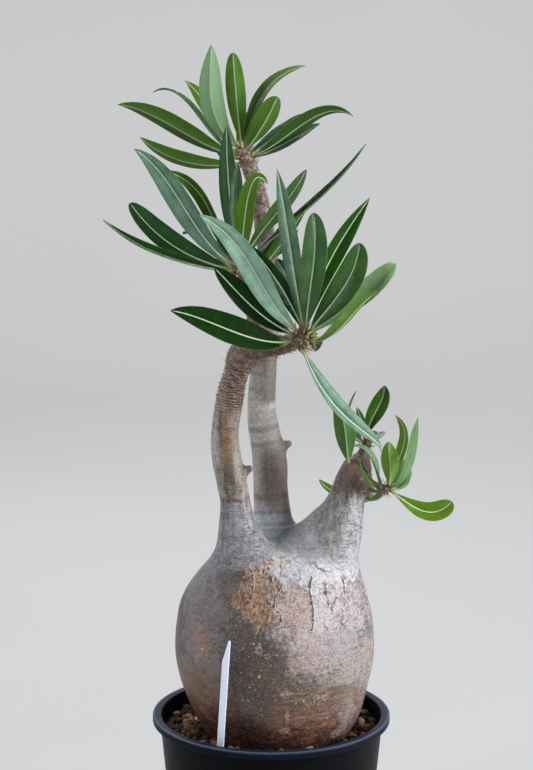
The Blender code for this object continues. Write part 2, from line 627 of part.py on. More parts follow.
def leaf_envelope(leaves):
    """Points (x, y, z, half width) along every leaf, for keeping spines clear."""
    rows = []
    for _, line, shape in leaves:
        spaced = line[::ENVELOPE_STEP]
        widths = [half_width(shape, i / (len(spaced) - 1)) for i in range(len(spaced))]
        rows.append(np.column_stack([spaced, widths]))
    return np.vstack(rows)


def hole_for_plant():
    """The buried end of the belly as a cutter, grown by the gap around it."""
    top = SOIL_TOP + 2 * GRAIN_R[1]
    low = [(height, radius) for radius, height in BELLY_LINE if height < top]
    grown = [(low[0][0] - HOLE_GAP, 0)]
    grown += [(height - 0.3 * HOLE_GAP, radius + HOLE_GAP) for height, radius in low[1:]]
    return turned([*grown, (top, 0)], BELLY_SIDES, (BELLY_AXIS_LOW, 0))


def label_frame():
    """The label's foot, and its directions along, across and through its thickness."""
    tip, soil = np.array(LABEL_TIP), np.array(LABEL_SOIL_POINT)
    up = (tip - soil) / np.linalg.norm(tip - soil)
    across = np.array((math.cos(LABEL_TURN), math.sin(LABEL_TURN), 0))
    across -= up * (across @ up)
    across /= np.linalg.norm(across)
    return tip - up * LABEL_LENGTH, up, across, np.cross(across, up)


def label_prism(extra, length):
    """The label's strip grown by extra on all sides: its outline on both faces."""
    foot, up, across, through = label_frame()
    half = LABEL_WIDTH / 2
    outline = ((-half, 0), (half, 0), (half, length), (half - 1.2, length),
               (-half, length - LABEL_POINT))
    if extra:
        outline = ((-half - extra, -extra), (half + extra, -extra), (half + extra, length),
                   (-half - extra, length))
    count = len(outline)
    points = [foot + across * x + up * z + through * side * (LABEL_THICK / 2 + extra)
              for side in (-1, 1) for x, z in outline]
    faces = [tuple(reversed(range(count))), tuple(range(count, 2 * count))]
    faces += [(i, (i + 1) % count, count + (i + 1) % count, count + i) for i in range(count)]
    return points, faces


def make_label(material):
    return make_object("label", *label_prism(0, LABEL_LENGTH), material, LABEL_SOIL_POINT)


def make_grain(number, rng):
    """One crumb of pumice or baked clay: a lopsided block that lies half in the soil."""
    share = rng.random()
    inner = float(np.interp(SOIL_TOP, BELLY_LINE[:, 1], BELLY_LINE[:, 0]))
    outer = pot_inner_radius(SOIL_TOP) - GRAIN_RIM_SPACE
    radius = math.sqrt(inner ** 2 + share * (outer ** 2 - inner ** 2))
    angle = number * GOLDEN_ANGLE
    size = rng.uniform(*GRAIN_R)
    centre = (radius * math.cos(angle) + BELLY_AXIS_LOW * (1 - share), radius * math.sin(angle),
              SOIL_TOP + rng.uniform(-0.2, 0.25) * size)
    turn = rng.uniform(0, math.pi)
    points = []
    for x, y, z in ((-1, -1, -1), (1, -1, -1), (1, 1, -1), (-1, 1, -1),
                    (-0.7, -0.7, 0.8), (0.7, -0.7, 0.8), (0.7, 0.7, 0.8), (-0.7, 0.7, 0.8)):
        x, y, z = (value * size * rng.uniform(0.6, 0.95) for value in (x, y, z))
        points.append((centre[0] + x * math.cos(turn) - y * math.sin(turn),
                       centre[1] + x * math.sin(turn) + y * math.cos(turn), centre[2] + z))
    faces = [(3, 2, 1, 0), (4, 5, 6, 7), (0, 1, 5, 4), (1, 2, 6, 5), (2, 3, 7, 6), (3, 0, 4, 7)]
    return make_object(f"grain_{number}", points, faces)


def make_soil(material):
    floor = POT_RECESS + POT_FLOOR + GAP
    profile = ((floor, 0), (floor, pot_inner_radius(floor) - GAP),
               (SOIL_TOP, pot_inner_radius(SOIL_TOP) - GAP), (SOIL_TOP, 0))
    soil = make_object("soil", *turned(profile, SOIL_SIDES), material)
    rng = random.Random(GRAIN_SEED)
    join_all(soil, [make_grain(number, rng) for number in range(GRAIN_COUNT)])
    cut(soil, make_object("plant_hole", *hole_for_plant()))
    cut(soil, make_object("label_slot", *label_prism(GAP, LABEL_LENGTH)))
    return soil


def build():
    clear_scene()
    stand = bpy.data.objects.new("potted_pachypodium", None)
    bpy.context.scene.collection.objects.link(stand)
    leaf_green = make_material("leaf", (0.09, 0.22, 0.06), 0.35)
    young_green = make_material("young_leaf", (0.22, 0.36, 0.07), 0.4)
    bark = make_material("bark", (0.42, 0.36, 0.3), 0.75)
    plant, tree = make_skin(bark)
    leaves = [(f"{name}_leaf_{number:02d}", midrib(HEADS[name], shape, tree), shape)
              for name, shapes in LEAVES.items() for number, shape in enumerate(shapes, 1)]
    join_all(plant, [make_spine(number, *ends) for number, ends in enumerate(spines(leaves))])
    parts = [
        plant,
        make_pot(make_material("pot_plastic", (0.02, 0.022, 0.026), 0.4)),
        make_soil(make_material("soil_mix", (0.42, 0.28, 0.16), 0.9)),
        make_label(make_material("label_plastic", (0.85, 0.86, 0.92), 0.35)),
    ]
    for name, line, shape in leaves:
        young = name.startswith(("top", "right", "low", "shoulder"))
        parts.append(make_leaf(name, line, shape, young_green if young else leaf_green))
    for part in parts:
        part.parent = stand


build()
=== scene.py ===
# %% [markdown]
# # A potted pachypodium
#
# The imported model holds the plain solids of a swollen, branching succulent: its woody body, 53
# leaves, the gritty soil, a plastic pot and a plant label. This lesson gives each of them a finer
# piece of the same form, adds the scars, spines, scale leaves and grains that are too small for the
# solids, and paints everything with patterns made of nodes.
#
# Sizes are written in millimetres, as a grower would say them. MM turns them into Blender's metres.

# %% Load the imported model
import json
import math

import bpy
import numpy as np
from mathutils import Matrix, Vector, noise

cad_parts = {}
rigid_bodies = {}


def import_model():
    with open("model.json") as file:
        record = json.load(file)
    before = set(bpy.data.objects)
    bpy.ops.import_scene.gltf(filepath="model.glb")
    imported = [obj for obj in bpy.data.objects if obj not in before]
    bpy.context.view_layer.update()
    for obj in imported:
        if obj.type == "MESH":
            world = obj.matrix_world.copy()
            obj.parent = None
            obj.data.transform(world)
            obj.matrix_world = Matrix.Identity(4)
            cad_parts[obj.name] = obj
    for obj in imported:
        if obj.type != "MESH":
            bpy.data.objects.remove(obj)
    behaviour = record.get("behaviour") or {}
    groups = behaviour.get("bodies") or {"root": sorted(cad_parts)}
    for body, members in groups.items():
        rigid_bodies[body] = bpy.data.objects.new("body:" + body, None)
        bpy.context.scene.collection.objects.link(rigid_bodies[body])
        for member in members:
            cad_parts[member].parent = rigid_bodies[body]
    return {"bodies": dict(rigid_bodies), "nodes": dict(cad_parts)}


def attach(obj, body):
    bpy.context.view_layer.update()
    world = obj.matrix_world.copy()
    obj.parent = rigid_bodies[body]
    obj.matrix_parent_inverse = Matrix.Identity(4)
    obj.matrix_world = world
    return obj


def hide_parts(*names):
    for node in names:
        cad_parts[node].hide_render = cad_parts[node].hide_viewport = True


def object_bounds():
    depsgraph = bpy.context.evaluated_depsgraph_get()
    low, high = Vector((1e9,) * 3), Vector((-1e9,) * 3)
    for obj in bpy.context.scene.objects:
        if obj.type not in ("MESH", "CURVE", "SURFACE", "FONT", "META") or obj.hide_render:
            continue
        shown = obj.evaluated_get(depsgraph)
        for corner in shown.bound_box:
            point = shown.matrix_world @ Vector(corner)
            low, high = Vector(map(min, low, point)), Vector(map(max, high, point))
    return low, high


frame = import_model()
CAD_BOX = [list(corner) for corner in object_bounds()]
MM = 0.001
GOLDEN_ANGLE = math.radians(137.5)
print(len(frame["nodes"]), "solids on", list(frame["bodies"]), "in the box", CAD_BOX)

# %% [markdown]
# ## Sums on sockets
#
# A pattern is a sum: the pale of a vein is so much times the distance to the rib. Written node by
# node that sum is hard to read, so one small class wraps an output socket, and Python's own signs
# add the Math node, or the Vector Math node where the socket carries a vector.

# %% A socket that can be used in sums
class Term:
    """An output socket. A Python sum on it adds a Math or a Vector Math node to its tree."""

    def __init__(self, tree, node, output=0):
        self.tree, self.node, self.socket = tree, node, node.outputs[output]

    def __getitem__(self, output):
        return Term(self.tree, self.node, output)

    def __add__(self, other):
        return self.tree.sum("ADD", self, other)

    def __radd__(self, other):
        return self.tree.sum("ADD", other, self)

    def __sub__(self, other):
        return self.tree.sum("SUBTRACT", self, other)

    def __rsub__(self, other):
        return self.tree.sum("SUBTRACT", other, self)

    def __mul__(self, other):
        return self.tree.sum("MULTIPLY", self, other)

    def __rmul__(self, other):
        return self.tree.sum("MULTIPLY", other, self)

    def __truediv__(self, other):
        return self.tree.sum("DIVIDE", self, other)

    def __pow__(self, other):
        return self.tree.maths("POWER", self, other)


def is_vector(value):
    return isinstance(value, tuple) or isinstance(value, Term) and value.socket.type == "VECTOR"


# %% A tree that grows by one method
class Tree:
    """A node tree. Its node method takes a node's type, its settings and its sockets' values."""

    def __init__(self, group):
        self.group = group

    def node(self, kind, settings=None, values=None):
        node = self.group.nodes.new(kind)
        for name, value in (settings or {}).items():
            if name == "stops":
                self.set_stops(node.color_ramp, value)
            else:
                setattr(node, name, value)
        for place, value in (values or {}).items():
            self.feed(node.inputs[place], value)
        return Term(self, node)

    def feed(self, socket, value):
        """Links a socket to a Term, or to each of a list of them, or sets its own value."""
        for one in value if isinstance(value, list) else [value]:
            if isinstance(one, Term):
                self.group.links.new(one.socket, socket)
            elif socket.type == "RGBA":
                socket.default_value = (*one, 1)
            else:
                socket.default_value = one

    def set_stops(self, ramp, stops):
        while len(ramp.elements) < len(stops):
            ramp.elements.new(1)
        for element, (place, colour) in zip(ramp.elements, stops):
            element.position = place
            element.color = (*colour, 1)

    def maths(self, operation, *values):
        return self.node("ShaderNodeMath", {"operation": operation}, dict(enumerate(values)))

    def vector(self, operation, *values):
        places = (0, 3) if operation == "SCALE" else range(len(values))
        made = self.node("ShaderNodeVectorMath", {"operation": operation},
                         dict(zip(places, values)))
        return made[1] if operation in ("LENGTH", "DOT_PRODUCT") else made

    def sum(self, operation, first, second):
        """first and second are numbers or vectors, and a number scales a vector."""
        if not is_vector(first) and not is_vector(second):
            return self.maths(operation, first, second)
        if operation == "MULTIPLY" and not is_vector(second):
            return self.vector("SCALE", first, second)
        if operation == "MULTIPLY" and not is_vector(first):
            return self.vector("SCALE", second, first)
        return self.vector(operation, first, second)

    def step(self, value, low, high):
        """0 below low, 1 above high, and smooth between them."""
        ends = {"Value": value, "From Min": low, "From Max": high}
        return self.node("ShaderNodeMapRange", {"interpolation_type": "SMOOTHSTEP"}, ends)

    def bell(self, value, width):
        """1 where the value is 0, falling to nothing a few widths away on both sides."""
        share = value / width
        return self.maths("EXPONENT", -1 * (share * share))

    def parts(self, vector):
        """The vector's numbers, picked by the names X, Y and Z."""
        return self.node("ShaderNodeSeparateXYZ", None, {0: vector})

    def joined(self, x=0, y=0, z=0):
        return self.node("ShaderNodeCombineXYZ", None, {0: x, 1: y, 2: z})


print("Term and Tree are ready")

# %% [markdown]
# ## Recipes: Geometry Nodes with named inputs
#
# What repeats or follows a rule is made by Geometry Nodes. A recipe is one such tree with named
# inputs.

# %% A Geometry Nodes tree that makes plain meshes
SOCKETS = {float: "NodeSocketFloat", int: "NodeSocketInt", tuple: "NodeSocketVector"}


class Recipe(Tree):
    """A Geometry Nodes tree. sizes gives the name and the usual value of each input."""

    def __init__(self, name, sizes):
        super().__init__(bpy.data.node_groups.new(name, "GeometryNodeTree"))
        sockets = self.group.interface
        sockets.new_socket("Source", in_out="INPUT", socket_type="NodeSocketGeometry")
        sockets.new_socket("Result", in_out="OUTPUT", socket_type="NodeSocketGeometry")
        self.identifiers = {}
        for label, value in sizes.items():
            made = sockets.new_socket(label, in_out="INPUT", socket_type=SOCKETS[type(value)])
            made.default_value = value
            self.identifiers[label] = made.identifier
        made = sockets.new_socket("Finish", in_out="INPUT", socket_type="NodeSocketMaterial")
        self.identifiers["Finish"] = made.identifier
        self.start = self.group.nodes.new("NodeGroupInput")

    def given(self, label):
        return Term(self, self.start, label)

    def store(self, geometry, name, value, domain="POINT"):
        """The geometry with one more named number on its points."""
        return self.node("GeometryNodeStoreNamedAttribute", {"domain": domain},
                         {"Geometry": geometry, "Name": name, "Value": value})

    def number(self, name, kind="FLOAT"):
        return self.node("GeometryNodeInputNamedAttribute", {"data_type": kind}, {"Name": name})

    def random(self, low, high, salt):
        return self.node("FunctionNodeRandomValue", None,
                         {2: low, 3: high, "Seed": self.given("Seed") + salt})[1]

    def end(self, geometry):
        whole = self.node("GeometryNodeRealizeInstances", None, {"Geometry": geometry})
        smooth = self.node("GeometryNodeSetShadeSmooth", None, {"Geometry": whole})
        painted = self.node("GeometryNodeSetMaterial", None,
                            {"Geometry": smooth, "Material": self.given("Finish")})
        self.group.links.new(painted.socket, self.group.nodes.new("NodeGroupOutput").inputs[0])

    def make(self, name, source, finish, **values):
        """Runs the recipe on a source mesh and gives the plain result as an object."""
        holder = bpy.data.objects.new("holder", source)
        bpy.context.scene.collection.objects.link(holder)
        modifier = holder.modifiers.new("recipe", "NODES")
        modifier.node_group = self.group
        modifier[self.identifiers["Finish"]] = finish.material
        for label, value in values.items():
            modifier[self.identifiers[label]] = value
        graph = bpy.context.evaluated_depsgraph_get()
        mesh = bpy.data.meshes.new_from_object(holder.evaluated_get(graph))
        bpy.data.objects.remove(holder)
        mesh.name = name
        made = bpy.data.objects.new(name, mesh)
        bpy.context.scene.collection.objects.link(made)
        return made


print("Recipe is ready")

# %% [markdown]
# ## Finishes: materials measured in millimetres
#
# Every finish is one Principled shader fed by patterns. Patterns read Object coordinates, turned
# into millimetres, so that a noise of size 4 has lumps about 4 mm across. Numbers that are the same
# all over, such as the specular level, sit on the shader's own sockets.

# %% A material with its patterns
NOISE_SWING = 0.25


class Finish(Tree):
    """A material. place holds the Object coordinates in millimetres."""

    def __init__(self, name, **constants):
        self.material = bpy.data.materials.new(name)
        self.material.use_nodes = True
        super().__init__(self.material.node_tree)
        self.shader = self.group.nodes["Principled BSDF"]
        for socket, value in constants.items():
            self.feed(self.shader.inputs[socket.replace("_", " ")], value)
        self.place = self.node("ShaderNodeTexCoord")["Object"] * (1 / MM)

    def number(self, name):
        return self.node("ShaderNodeAttribute", {"attribute_name": name})["Fac"]

    def scaled(self, size, at, stretch):
        return (at or self.place) * tuple(1 / (size * share) for share in stretch)

    def noise(self, size, detail=2, at=None, stretch=(1, 1, 1), roughness=0.5):
        """Smooth random numbers about 0.5, in lumps of that size, stretched along an axis."""
        return self.node("ShaderNodeTexNoise", None, {
            "Vector": self.scaled(size, at, stretch), "Scale": 1.0, "Detail": detail,
            "Roughness": roughness})

    def cells(self, size, feature="F1", at=None, stretch=(1, 1, 1)):
        return self.node("ShaderNodeTexVoronoi", {"feature": feature},
                         {"Vector": self.scaled(size, at, stretch), "Scale": 1.0})

    def chance(self, cells):
        """A random number for each cell."""
        return self.node("ShaderNodeSeparateColor", None, {0: cells["Color"]})

    def warped(self, *pushes):
        """The place, pushed about. A push is how many millimetres, and in lumps of what size."""
        spot = self.place
        for amount, size in pushes:
            push = self.vector("SUBTRACT", self.noise(size)["Color"], (0.5, 0.5, 0.5))
            spot = spot + push * (amount / NOISE_SWING)
        return spot

    def patch(self, centre, radii, at, edge=0.3):
        """1 inside an egg at centre, 0 outside it, with a soft edge."""
        away = self.vector("LENGTH", (at - centre) * tuple(1 / radius for radius in radii))
        return 1 - self.step(away, 1 - edge, 1 + edge)

    def mix(self, share, first, second, blend="MIX"):
        return self.node("ShaderNodeMix", {"data_type": "RGBA", "blend_type": blend},
                         {0: share, 6: first, 7: second})[2]

    def layered(self, base, *layers):
        """The base colour with other colours laid over it in turn. A layer is (share, colour)."""
        for share, colour in layers:
            base = self.mix(share, base, colour)
        return base

    def ramp(self, value, *stops):
        return self.node("ShaderNodeValToRGB", {"stops": stops}, {"Fac": value})

    def bump(self, height, depth):
        """Relief of that depth in millimetres where the height runs from 0 to 1."""
        return self.node("ShaderNodeBump", None,
                         {"Strength": 1.0, "Distance": depth * MM, "Height": height})

    def wear(self, **sockets):
        for socket, value in sockets.items():
            self.feed(self.shader.inputs[socket.replace("_", " ")], value)


def lumpy_finish(name, specular, lumps, stops, roughness, relief):
    """A finish whose colour, roughness and relief all follow one noise. lumps is the noise's size
    and detail, and roughness its least value and its range."""
    made = Finish(name, Specular_IOR_Level=specular)
    wave = made.noise(*lumps)
    made.wear(Base_Color=made.ramp(wave, *stops), Roughness=roughness[0] + wave * roughness[1],
              Normal=made.bump(wave, relief))
    return made


print("Finish is ready")

# %% [markdown]
# ## The woody plant
#
# The real stem has no seams: a flask-shaped belly flows into three stems, and they fork. A surface
# like that is easiest to write as a distance: how far a point lies outside the wood. The belly is
# a turned profile, a stem is a tapering round line, and where two meet, a smooth union lays a
# fillet between them. A voxel remesh gives a skin, and every point of it is then slid along the
# slope of the distance until it lies on the surface. The values are those of the solid model.

# %% The shape of the wood, in millimetres
BELLY_PROFILE = (
    (56, 0), (58, 9), (66, 21), (80, 31), (96, 38), (112, 43.5), (120, 48), (136, 55), (162, 61.2),
    (180, 61.8), (200, 58.6), (213, 52.2), (224, 43), (231, 32), (235, 18), (236.5, 0),
)
BELLY_AXIS_LOW = 4.2
BELLY_AXIS_HIGH = 1.6
BELLY_AXIS_TURN = (118.0, 165.0)
BELLY_UNEVEN = 1.1
BELLY_UNEVEN_FROM = (128.0, 150.0)
BRANCHES = {
    "left_stem": (15, (
        (-15, -11, 216, 21), (-18.5, -15, 240, 15.5), (-21, -18, 257, 11.2), (-22.5, -19, 271, 9.3),
        (-25, -20, 285, 9.2), (-27.6, -21, 299, 9.1), (-28, -22, 315, 8.5), (-25.5, -23, 333, 8.6),
        (-22.5, -24, 346, 7.6), (-17.5, -25, 361, 7.4))),
    "back_stem": (15, (
        (0, 14, 216, 20), (1, 22, 242, 13.5), (-0.5, 26, 266, 11), (-1, 27, 284, 11.3),
        (-3.6, 27, 299, 10.2), (-5.7, 27, 313, 9.7), (-5.8, 27, 331, 8.9), (-4.6, 27, 346, 8.2),
        (-2, 26, 375, 7.4), (-0.8, 25, 397, 6.7), (-1.4, 24, 412, 6.3), (-4, 24, 428, 6.2),
        (-6, 24, 444, 5.9), (-9, 24, 458, 5.5), (-13, 24, 469, 5.1), (-17.5, 24, 479, 4.6))),
    "right_stem": (14, (
        (26, 2, 214, 27), (35, 3, 237, 21), (42.5, 4, 252, 15.2), (47, 6, 264, 12),
        (50.5, 7, 275, 11), (53, 8, 283, 9.4))),
    "front_branch": (5, (
        (-18, -25, 358, 7.4), (-9, -29, 365, 6.8), (3, -36, 368, 6.0), (13, -42, 371.5, 5.3),
        (20, -46.5, 375, 4.6))),
    "rear_branch": (5, (
        (-18, -25, 360, 7), (-11, -22, 377, 5.6), (-8.5, -20, 393, 5.1), (-13, -18, 404, 4.7),
        (-19, -16, 412.5, 4.2))),
    "right_shoot": (4, ((55, 10, 281, 6.5), (58, 12, 294, 3.6), (60.5, 14, 300.5, 2.9))),
    "low_shoot": (5, (
        (53, 5, 276, 7), (60, 1, 274.5, 4.8), (66, -2, 273.6, 3.5), (71.5, -4, 273.5, 2.9))),
    "left_bud": (3, ((-24, -20, 285, 5), (-17, -20, 288, 3.3), (-13.5, -20, 289.8, 2.4))),
    "back_bud": (3, ((-2, 27, 289, 6), (7, 27, 293.5, 3.6), (10.8, 27, 295.6, 2.5))),
}
NEAR = 20.0
FAR = 1e6


# %% Smooth lines through the given points
def smooth_step(value, low, high):
    share = np.clip((np.asarray(value, float) - low) / (high - low), 0, 1)
    return share * share * (3 - 2 * share)


def spline(points, step):
    """Points along a smooth curve through the given ones, about one step apart."""
    points = np.asarray(points, float)
    padded = np.vstack([2 * points[0] - points[1], points, 2 * points[-1] - points[-2]])
    found = []
    for a, b, c, d in zip(padded, padded[1:], padded[2:], padded[3:]):
        count = max(1, round(np.linalg.norm(c[:3] - b[:3]) / step))
        for t in np.arange(count) / count:
            found.append(0.5 * (2 * b + (c - a) * t + (2 * a - 5 * b + 4 * c - d) * t * t
                                + (3 * b - a - 3 * c + d) * t ** 3))
    found.append(points[-1])
    return np.array(found)


FILLETS = {name: fillet for name, (fillet, _) in BRANCHES.items()}
LINES = {name: spline(points, 3.2) for name, (_, points) in BRANCHES.items()}
BELLY_LINE = spline([(radius, 0, height) for height, radius in BELLY_PROFILE], 3)[:, [0, 2]]
BELLY_LINE[:, 0] = np.maximum(BELLY_LINE[:, 0], 0)
print(len(LINES), "branches and a belly profile of", len(BELLY_LINE), "points")


# %% How far a point lies outside the wood
def belly_axis(height):
    """The x of the belly's axis, which leans a little towards +X near the soil."""
    share = smooth_step(height, *BELLY_AXIS_TURN)
    return BELLY_AXIS_LOW + (BELLY_AXIS_HIGH - BELLY_AXIS_LOW) * share


def belly_distance(points):
    x = points[:, 0] - belly_axis(points[:, 2])
    radius = np.hypot(x, points[:, 1])
    angle = np.arctan2(points[:, 1], x)
    two_lobes = np.sin(2 * angle + 0.8)
    three_lobes = np.sin(3 * angle + 2 + points[:, 2] / 30)
    uneven = two_lobes + 0.6 * three_lobes
    radius = radius - BELLY_UNEVEN * uneven * smooth_step(points[:, 2], *BELLY_UNEVEN_FROM)
    flat = np.stack([radius, points[:, 2]], 1)
    best, side = np.full(len(points), FAR), np.zeros(len(points))
    for start, step in zip(BELLY_LINE[:-1], np.diff(BELLY_LINE, axis=0)):
        share = np.clip(((flat - start) @ step) / (step @ step), 0, 1)
        away = flat - start - share[:, None] * step
        distance = np.hypot(away[:, 0], away[:, 1])
        nearer = distance < best - 1e-9
        best = np.where(nearer, distance, best)
        side = np.where(nearer, step[1] * away[:, 0] - step[0] * away[:, 1], side)
    return np.where(side > 0, best, -best)


def line_distance(points, line):
    """The distance to a tapering round line, and how far along it the nearest place is."""
    reach = line[:, 3].max() + NEAR
    near = ((points > line[:, :3].min(axis=0) - reach)
            & (points < line[:, :3].max(axis=0) + reach)).all(axis=1)
    close = points[near]
    best, run, done = np.full(len(close), FAR), np.zeros(len(close)), 0.0
    for start, end in zip(line, line[1:]):
        step = end[:3] - start[:3]
        length = np.linalg.norm(step)
        away = close - start[:3]
        share = np.clip((away @ step) / (step @ step), 0, 1)
        away = away - share[:, None] * step
        distance = np.sqrt((away * away).sum(axis=1)) - start[3] - share * (end[3] - start[3])
        run = np.where(distance < best, done + share * length, run)
        best = np.minimum(best, distance)
        done += length
    found, along = np.full(len(points), FAR), np.zeros(len(points))
    found[near], along[near] = best, run
    return found, along


def plant_distance(points):
    """How far each point lies outside the whole woody plant."""
    found = belly_distance(points)
    for name, fillet in FILLETS.items():
        branch = line_distance(points, LINES[name])[0]
        overlap = np.maximum(fillet - np.abs(found - branch), 0) / fillet
        found = np.minimum(found, branch) - overlap * overlap * fillet / 4
    return found


def plant_slope(points, step=0.05):
    slope = np.stack([plant_distance(points + offset) - plant_distance(points - offset)
                      for offset in np.eye(3) * step], 1)
    return slope / np.maximum(np.linalg.norm(slope, axis=1), 1e-9)[:, None]


def onto_plant(points, rounds=2):
    """The points moved onto the surface of the wood."""
    for _ in range(rounds):
        points = points - plant_slope(points) * plant_distance(points)[:, None]
    return points


tips = np.array([line[-1, :3] for line in LINES.values()])
print("branch tips lie", plant_distance(tips).round(1), "mm outside the wood")


# %% Plain meshes from points and faces
def new_object(name, points, faces, finish=None):
    """An object at the origin whose mesh has these points, in millimetres."""
    mesh = bpy.data.meshes.new(name)
    mesh.from_pydata((np.asarray(points, float) * MM).tolist(), [], faces)
    mesh.shade_smooth()
    if finish:
        mesh.materials.append(finish.material)
    made = bpy.data.objects.new(name, mesh)
    bpy.context.scene.collection.objects.link(made)
    return made


def turned(profile, sides):
    """Points and faces of a profile of (height, radius, shift) turned about the upright axis.
    shift moves a ring along X. The profile runs with the solid on its left."""
    points, rings = [], []
    for height, radius, shift in profile:
        if radius < 1e-6:
            rings.append([len(points)] * sides)
            points.append((shift, 0, height))
            continue
        rings.append([len(points) + i for i in range(sides)])
        points += [(shift + radius * math.cos(angle), radius * math.sin(angle), height)
                   for angle in np.arange(sides) * 2 * math.pi / sides]
    faces = []
    for low, high in zip(rings, rings[1:]):
        for i in range(sides):
            corners = (low[i], low[(i + 1) % sides], high[(i + 1) % sides], high[i])
            faces.append(tuple(dict.fromkeys(corners)))
    return points, faces


def applied(made):
    """The object with its modifiers worked into its mesh."""
    graph = bpy.context.evaluated_depsgraph_get()
    made.data = bpy.data.meshes.new_from_object(made.evaluated_get(graph))
    made.modifiers.clear()
    return made


def positions(mesh):
    found = np.empty(len(mesh.vertices) * 3)
    mesh.vertices.foreach_get("co", found)
    return found.reshape(-1, 3) / MM


print("meshes can be made")

# %% [markdown]
# The rough shape is a pile: the turned belly and a ball at every point of every branch. The voxel
# remesh melts the pile, and three rounds of smoothing and sliding lay the skin on the surface. Last
# the skin gets shallow hollows, because wood never swells evenly.

# %% The rough pile, melted into one skin
PILE_SIDES = 48
BALL_SIDES = 12
BALL_ROWS = 9
BALL_EXTRA = 0.5
SKIN_VOXEL = 1.25
SKIN_ROUNDS = 3
HOLLOW_DEPTH = 0.45
HOLLOW_SIZE = 17.0


def rough_plant():
    rows = [(height, radius, belly_axis(height)) for radius, height in BELLY_LINE]
    points, faces = turned(rows, PILE_SIDES)
    arc = np.linspace(0, math.pi, BALL_ROWS)
    ball = turned([(-math.cos(t), math.sin(t), 0) for t in arc], BALL_SIDES)
    for line in LINES.values():
        for x, y, z, radius in line:
            start = len(points)
            points += (np.array(ball[0]) * (radius + BALL_EXTRA) + (x, y, z)).tolist()
            faces += [tuple(start + i for i in face) for face in ball[1]]
    return new_object("woody_plant", points, faces)


def settle(points, edges):
    """One round of evening out the skin and laying it on the wood's surface."""
    count = np.bincount(edges.ravel(), minlength=len(points))[:, None]
    total = np.zeros_like(points)
    np.add.at(total, edges[:, 0], points[edges[:, 1]])
    np.add.at(total, edges[:, 1], points[edges[:, 0]])
    return onto_plant(0.5 * points + 0.5 * total / count, 1)


def make_skin():
    rough = rough_plant()
    melt = rough.modifiers.new("melt", "REMESH")
    melt.mode = "VOXEL"
    melt.voxel_size = SKIN_VOXEL * MM
    mesh = applied(rough).data
    points = positions(mesh)
    edges = np.empty(len(mesh.edges) * 2, int)
    mesh.edges.foreach_get("vertices", edges)
    for _ in range(SKIN_ROUNDS):
        points = settle(points, edges.reshape(-1, 2))
    hollows = np.array([noise.noise(Vector(point) / HOLLOW_SIZE) for point in points])
    points -= plant_slope(points) * (HOLLOW_DEPTH * (0.5 + hollows))[:, None]
    mesh.vertices.foreach_set("co", (points * MM).ravel())
    mesh.shade_smooth()
    return rough, points


woody_plant, skin_points = make_skin()
print("the skin has", len(woody_plant.data.polygons), "faces")

# %% [markdown]
# The finish of the bark has to know where it is: old and smooth on the belly, streaked on the three
# stems, ringed and scarred on the young wood near the leaves. So numbers are written on the skin's
# points: the share of each stem, the share of young wood, and the run along the nearest branch.

# %% Numbers on the skin for the bark's finish
YOUNG_FROM = {"left_stem": (109, 122), "back_stem": (150, 185), "right_stem": (56, 66),
              "front_branch": (-20, -10), "rear_branch": (-20, -10), "right_shoot": (-9, -3),
              "low_shoot": (-9, -3)}
STEM_FROM = (4.0, 24.0)
SEAM = 1.0
RUN_APART = 500


def write_number(mesh, name, values):
    mesh.attributes.new(name, "FLOAT", "POINT").data.foreach_set("value", values)


def numbers_of(points):
    """The shares of left, back and right stem and of young wood, and the run along a branch."""
    best = belly_distance(points)
    found = {name: np.zeros(len(points)) for name in ("left", "back", "right", "young")}
    run = points[:, 2].copy()
    for order, (name, line) in enumerate(LINES.items()):
        distance, along = line_distance(points, line)
        nearer = distance < best + SEAM
        run = np.where(nearer, along + RUN_APART * (order + 1), run)
        grown = smooth_step(along, *STEM_FROM) if name.endswith("stem") else 1.0
        for stem in ("left", "back", "right"):
            found[stem] = np.where(nearer, grown * name.startswith(stem), found[stem])
        youth = smooth_step(along, *YOUNG_FROM[name]) if name in YOUNG_FROM else 0.0
        found["young"] = np.where(nearer, youth, found["young"])
        best = np.minimum(best, distance)
    return {**found, "run": run}


for label, values in numbers_of(skin_points).items():
    write_number(woody_plant.data, label, values)
    print(label, "runs from", values.min().round(2), "to", values.max().round(2))

# %% [markdown]
# ## The bark's finish
#
# Old pachypodium bark is a silvery skin with the history of the plant on it: an orange patch where
# it has flaked, a pink flush beside it, a weathered dark side, a red-brown foot that the soil has
# stained. Each is a patch with a place, a size and a colour, and a fleck noise dissolves its edge,
# as the real patches melt into speckles. Two more patches are painted light: painted shade darkens
# the belly's left edge, and a painted highlight lies as a pale upright streak on its left side.
# Over them come the patterns that have relief as well.

# %% Bark: base colour
bark = Finish("bark", Specular_IOR_Level=0.35)
fleck = bark.noise(2.2, 4, roughness=0.62)
grain = bark.noise(0.8, 3, roughness=0.6)
mottle = bark.noise(11, 4, roughness=0.62)
ragged = bark.warped((5.5, 15.0), (2.0, 4.0))
torn = bark.warped((0.7, 3.0))
upright = bark.parts(bark.place)
height, depth_y = upright["Z"], upright["Y"]
loose_height = bark.parts(ragged)["Z"]
left, back, right, young, run = map(bark.number, ("left", "back", "right", "young", "run"))
skin = bark.ramp(mottle * 0.6 + fleck * 0.4, (0.36, (0.13, 0.12, 0.115)),
                 (0.5, (0.22, 0.205, 0.205)), (0.64, (0.34, 0.325, 0.33)))
print("the base of the bark is laid")


# %% Bark: patches of the belly, with painted light and shade
def worn(mask, speckle=2.2):
    """The mask with its edge dissolved into flecks. Inside it and far from it nothing changes."""
    edge = mask * (1 - mask) * 4
    return bark.step(mask + ((fleck - 0.5) * speckle + (mottle - 0.5) * 0.9) * edge, 0.1, 0.9)


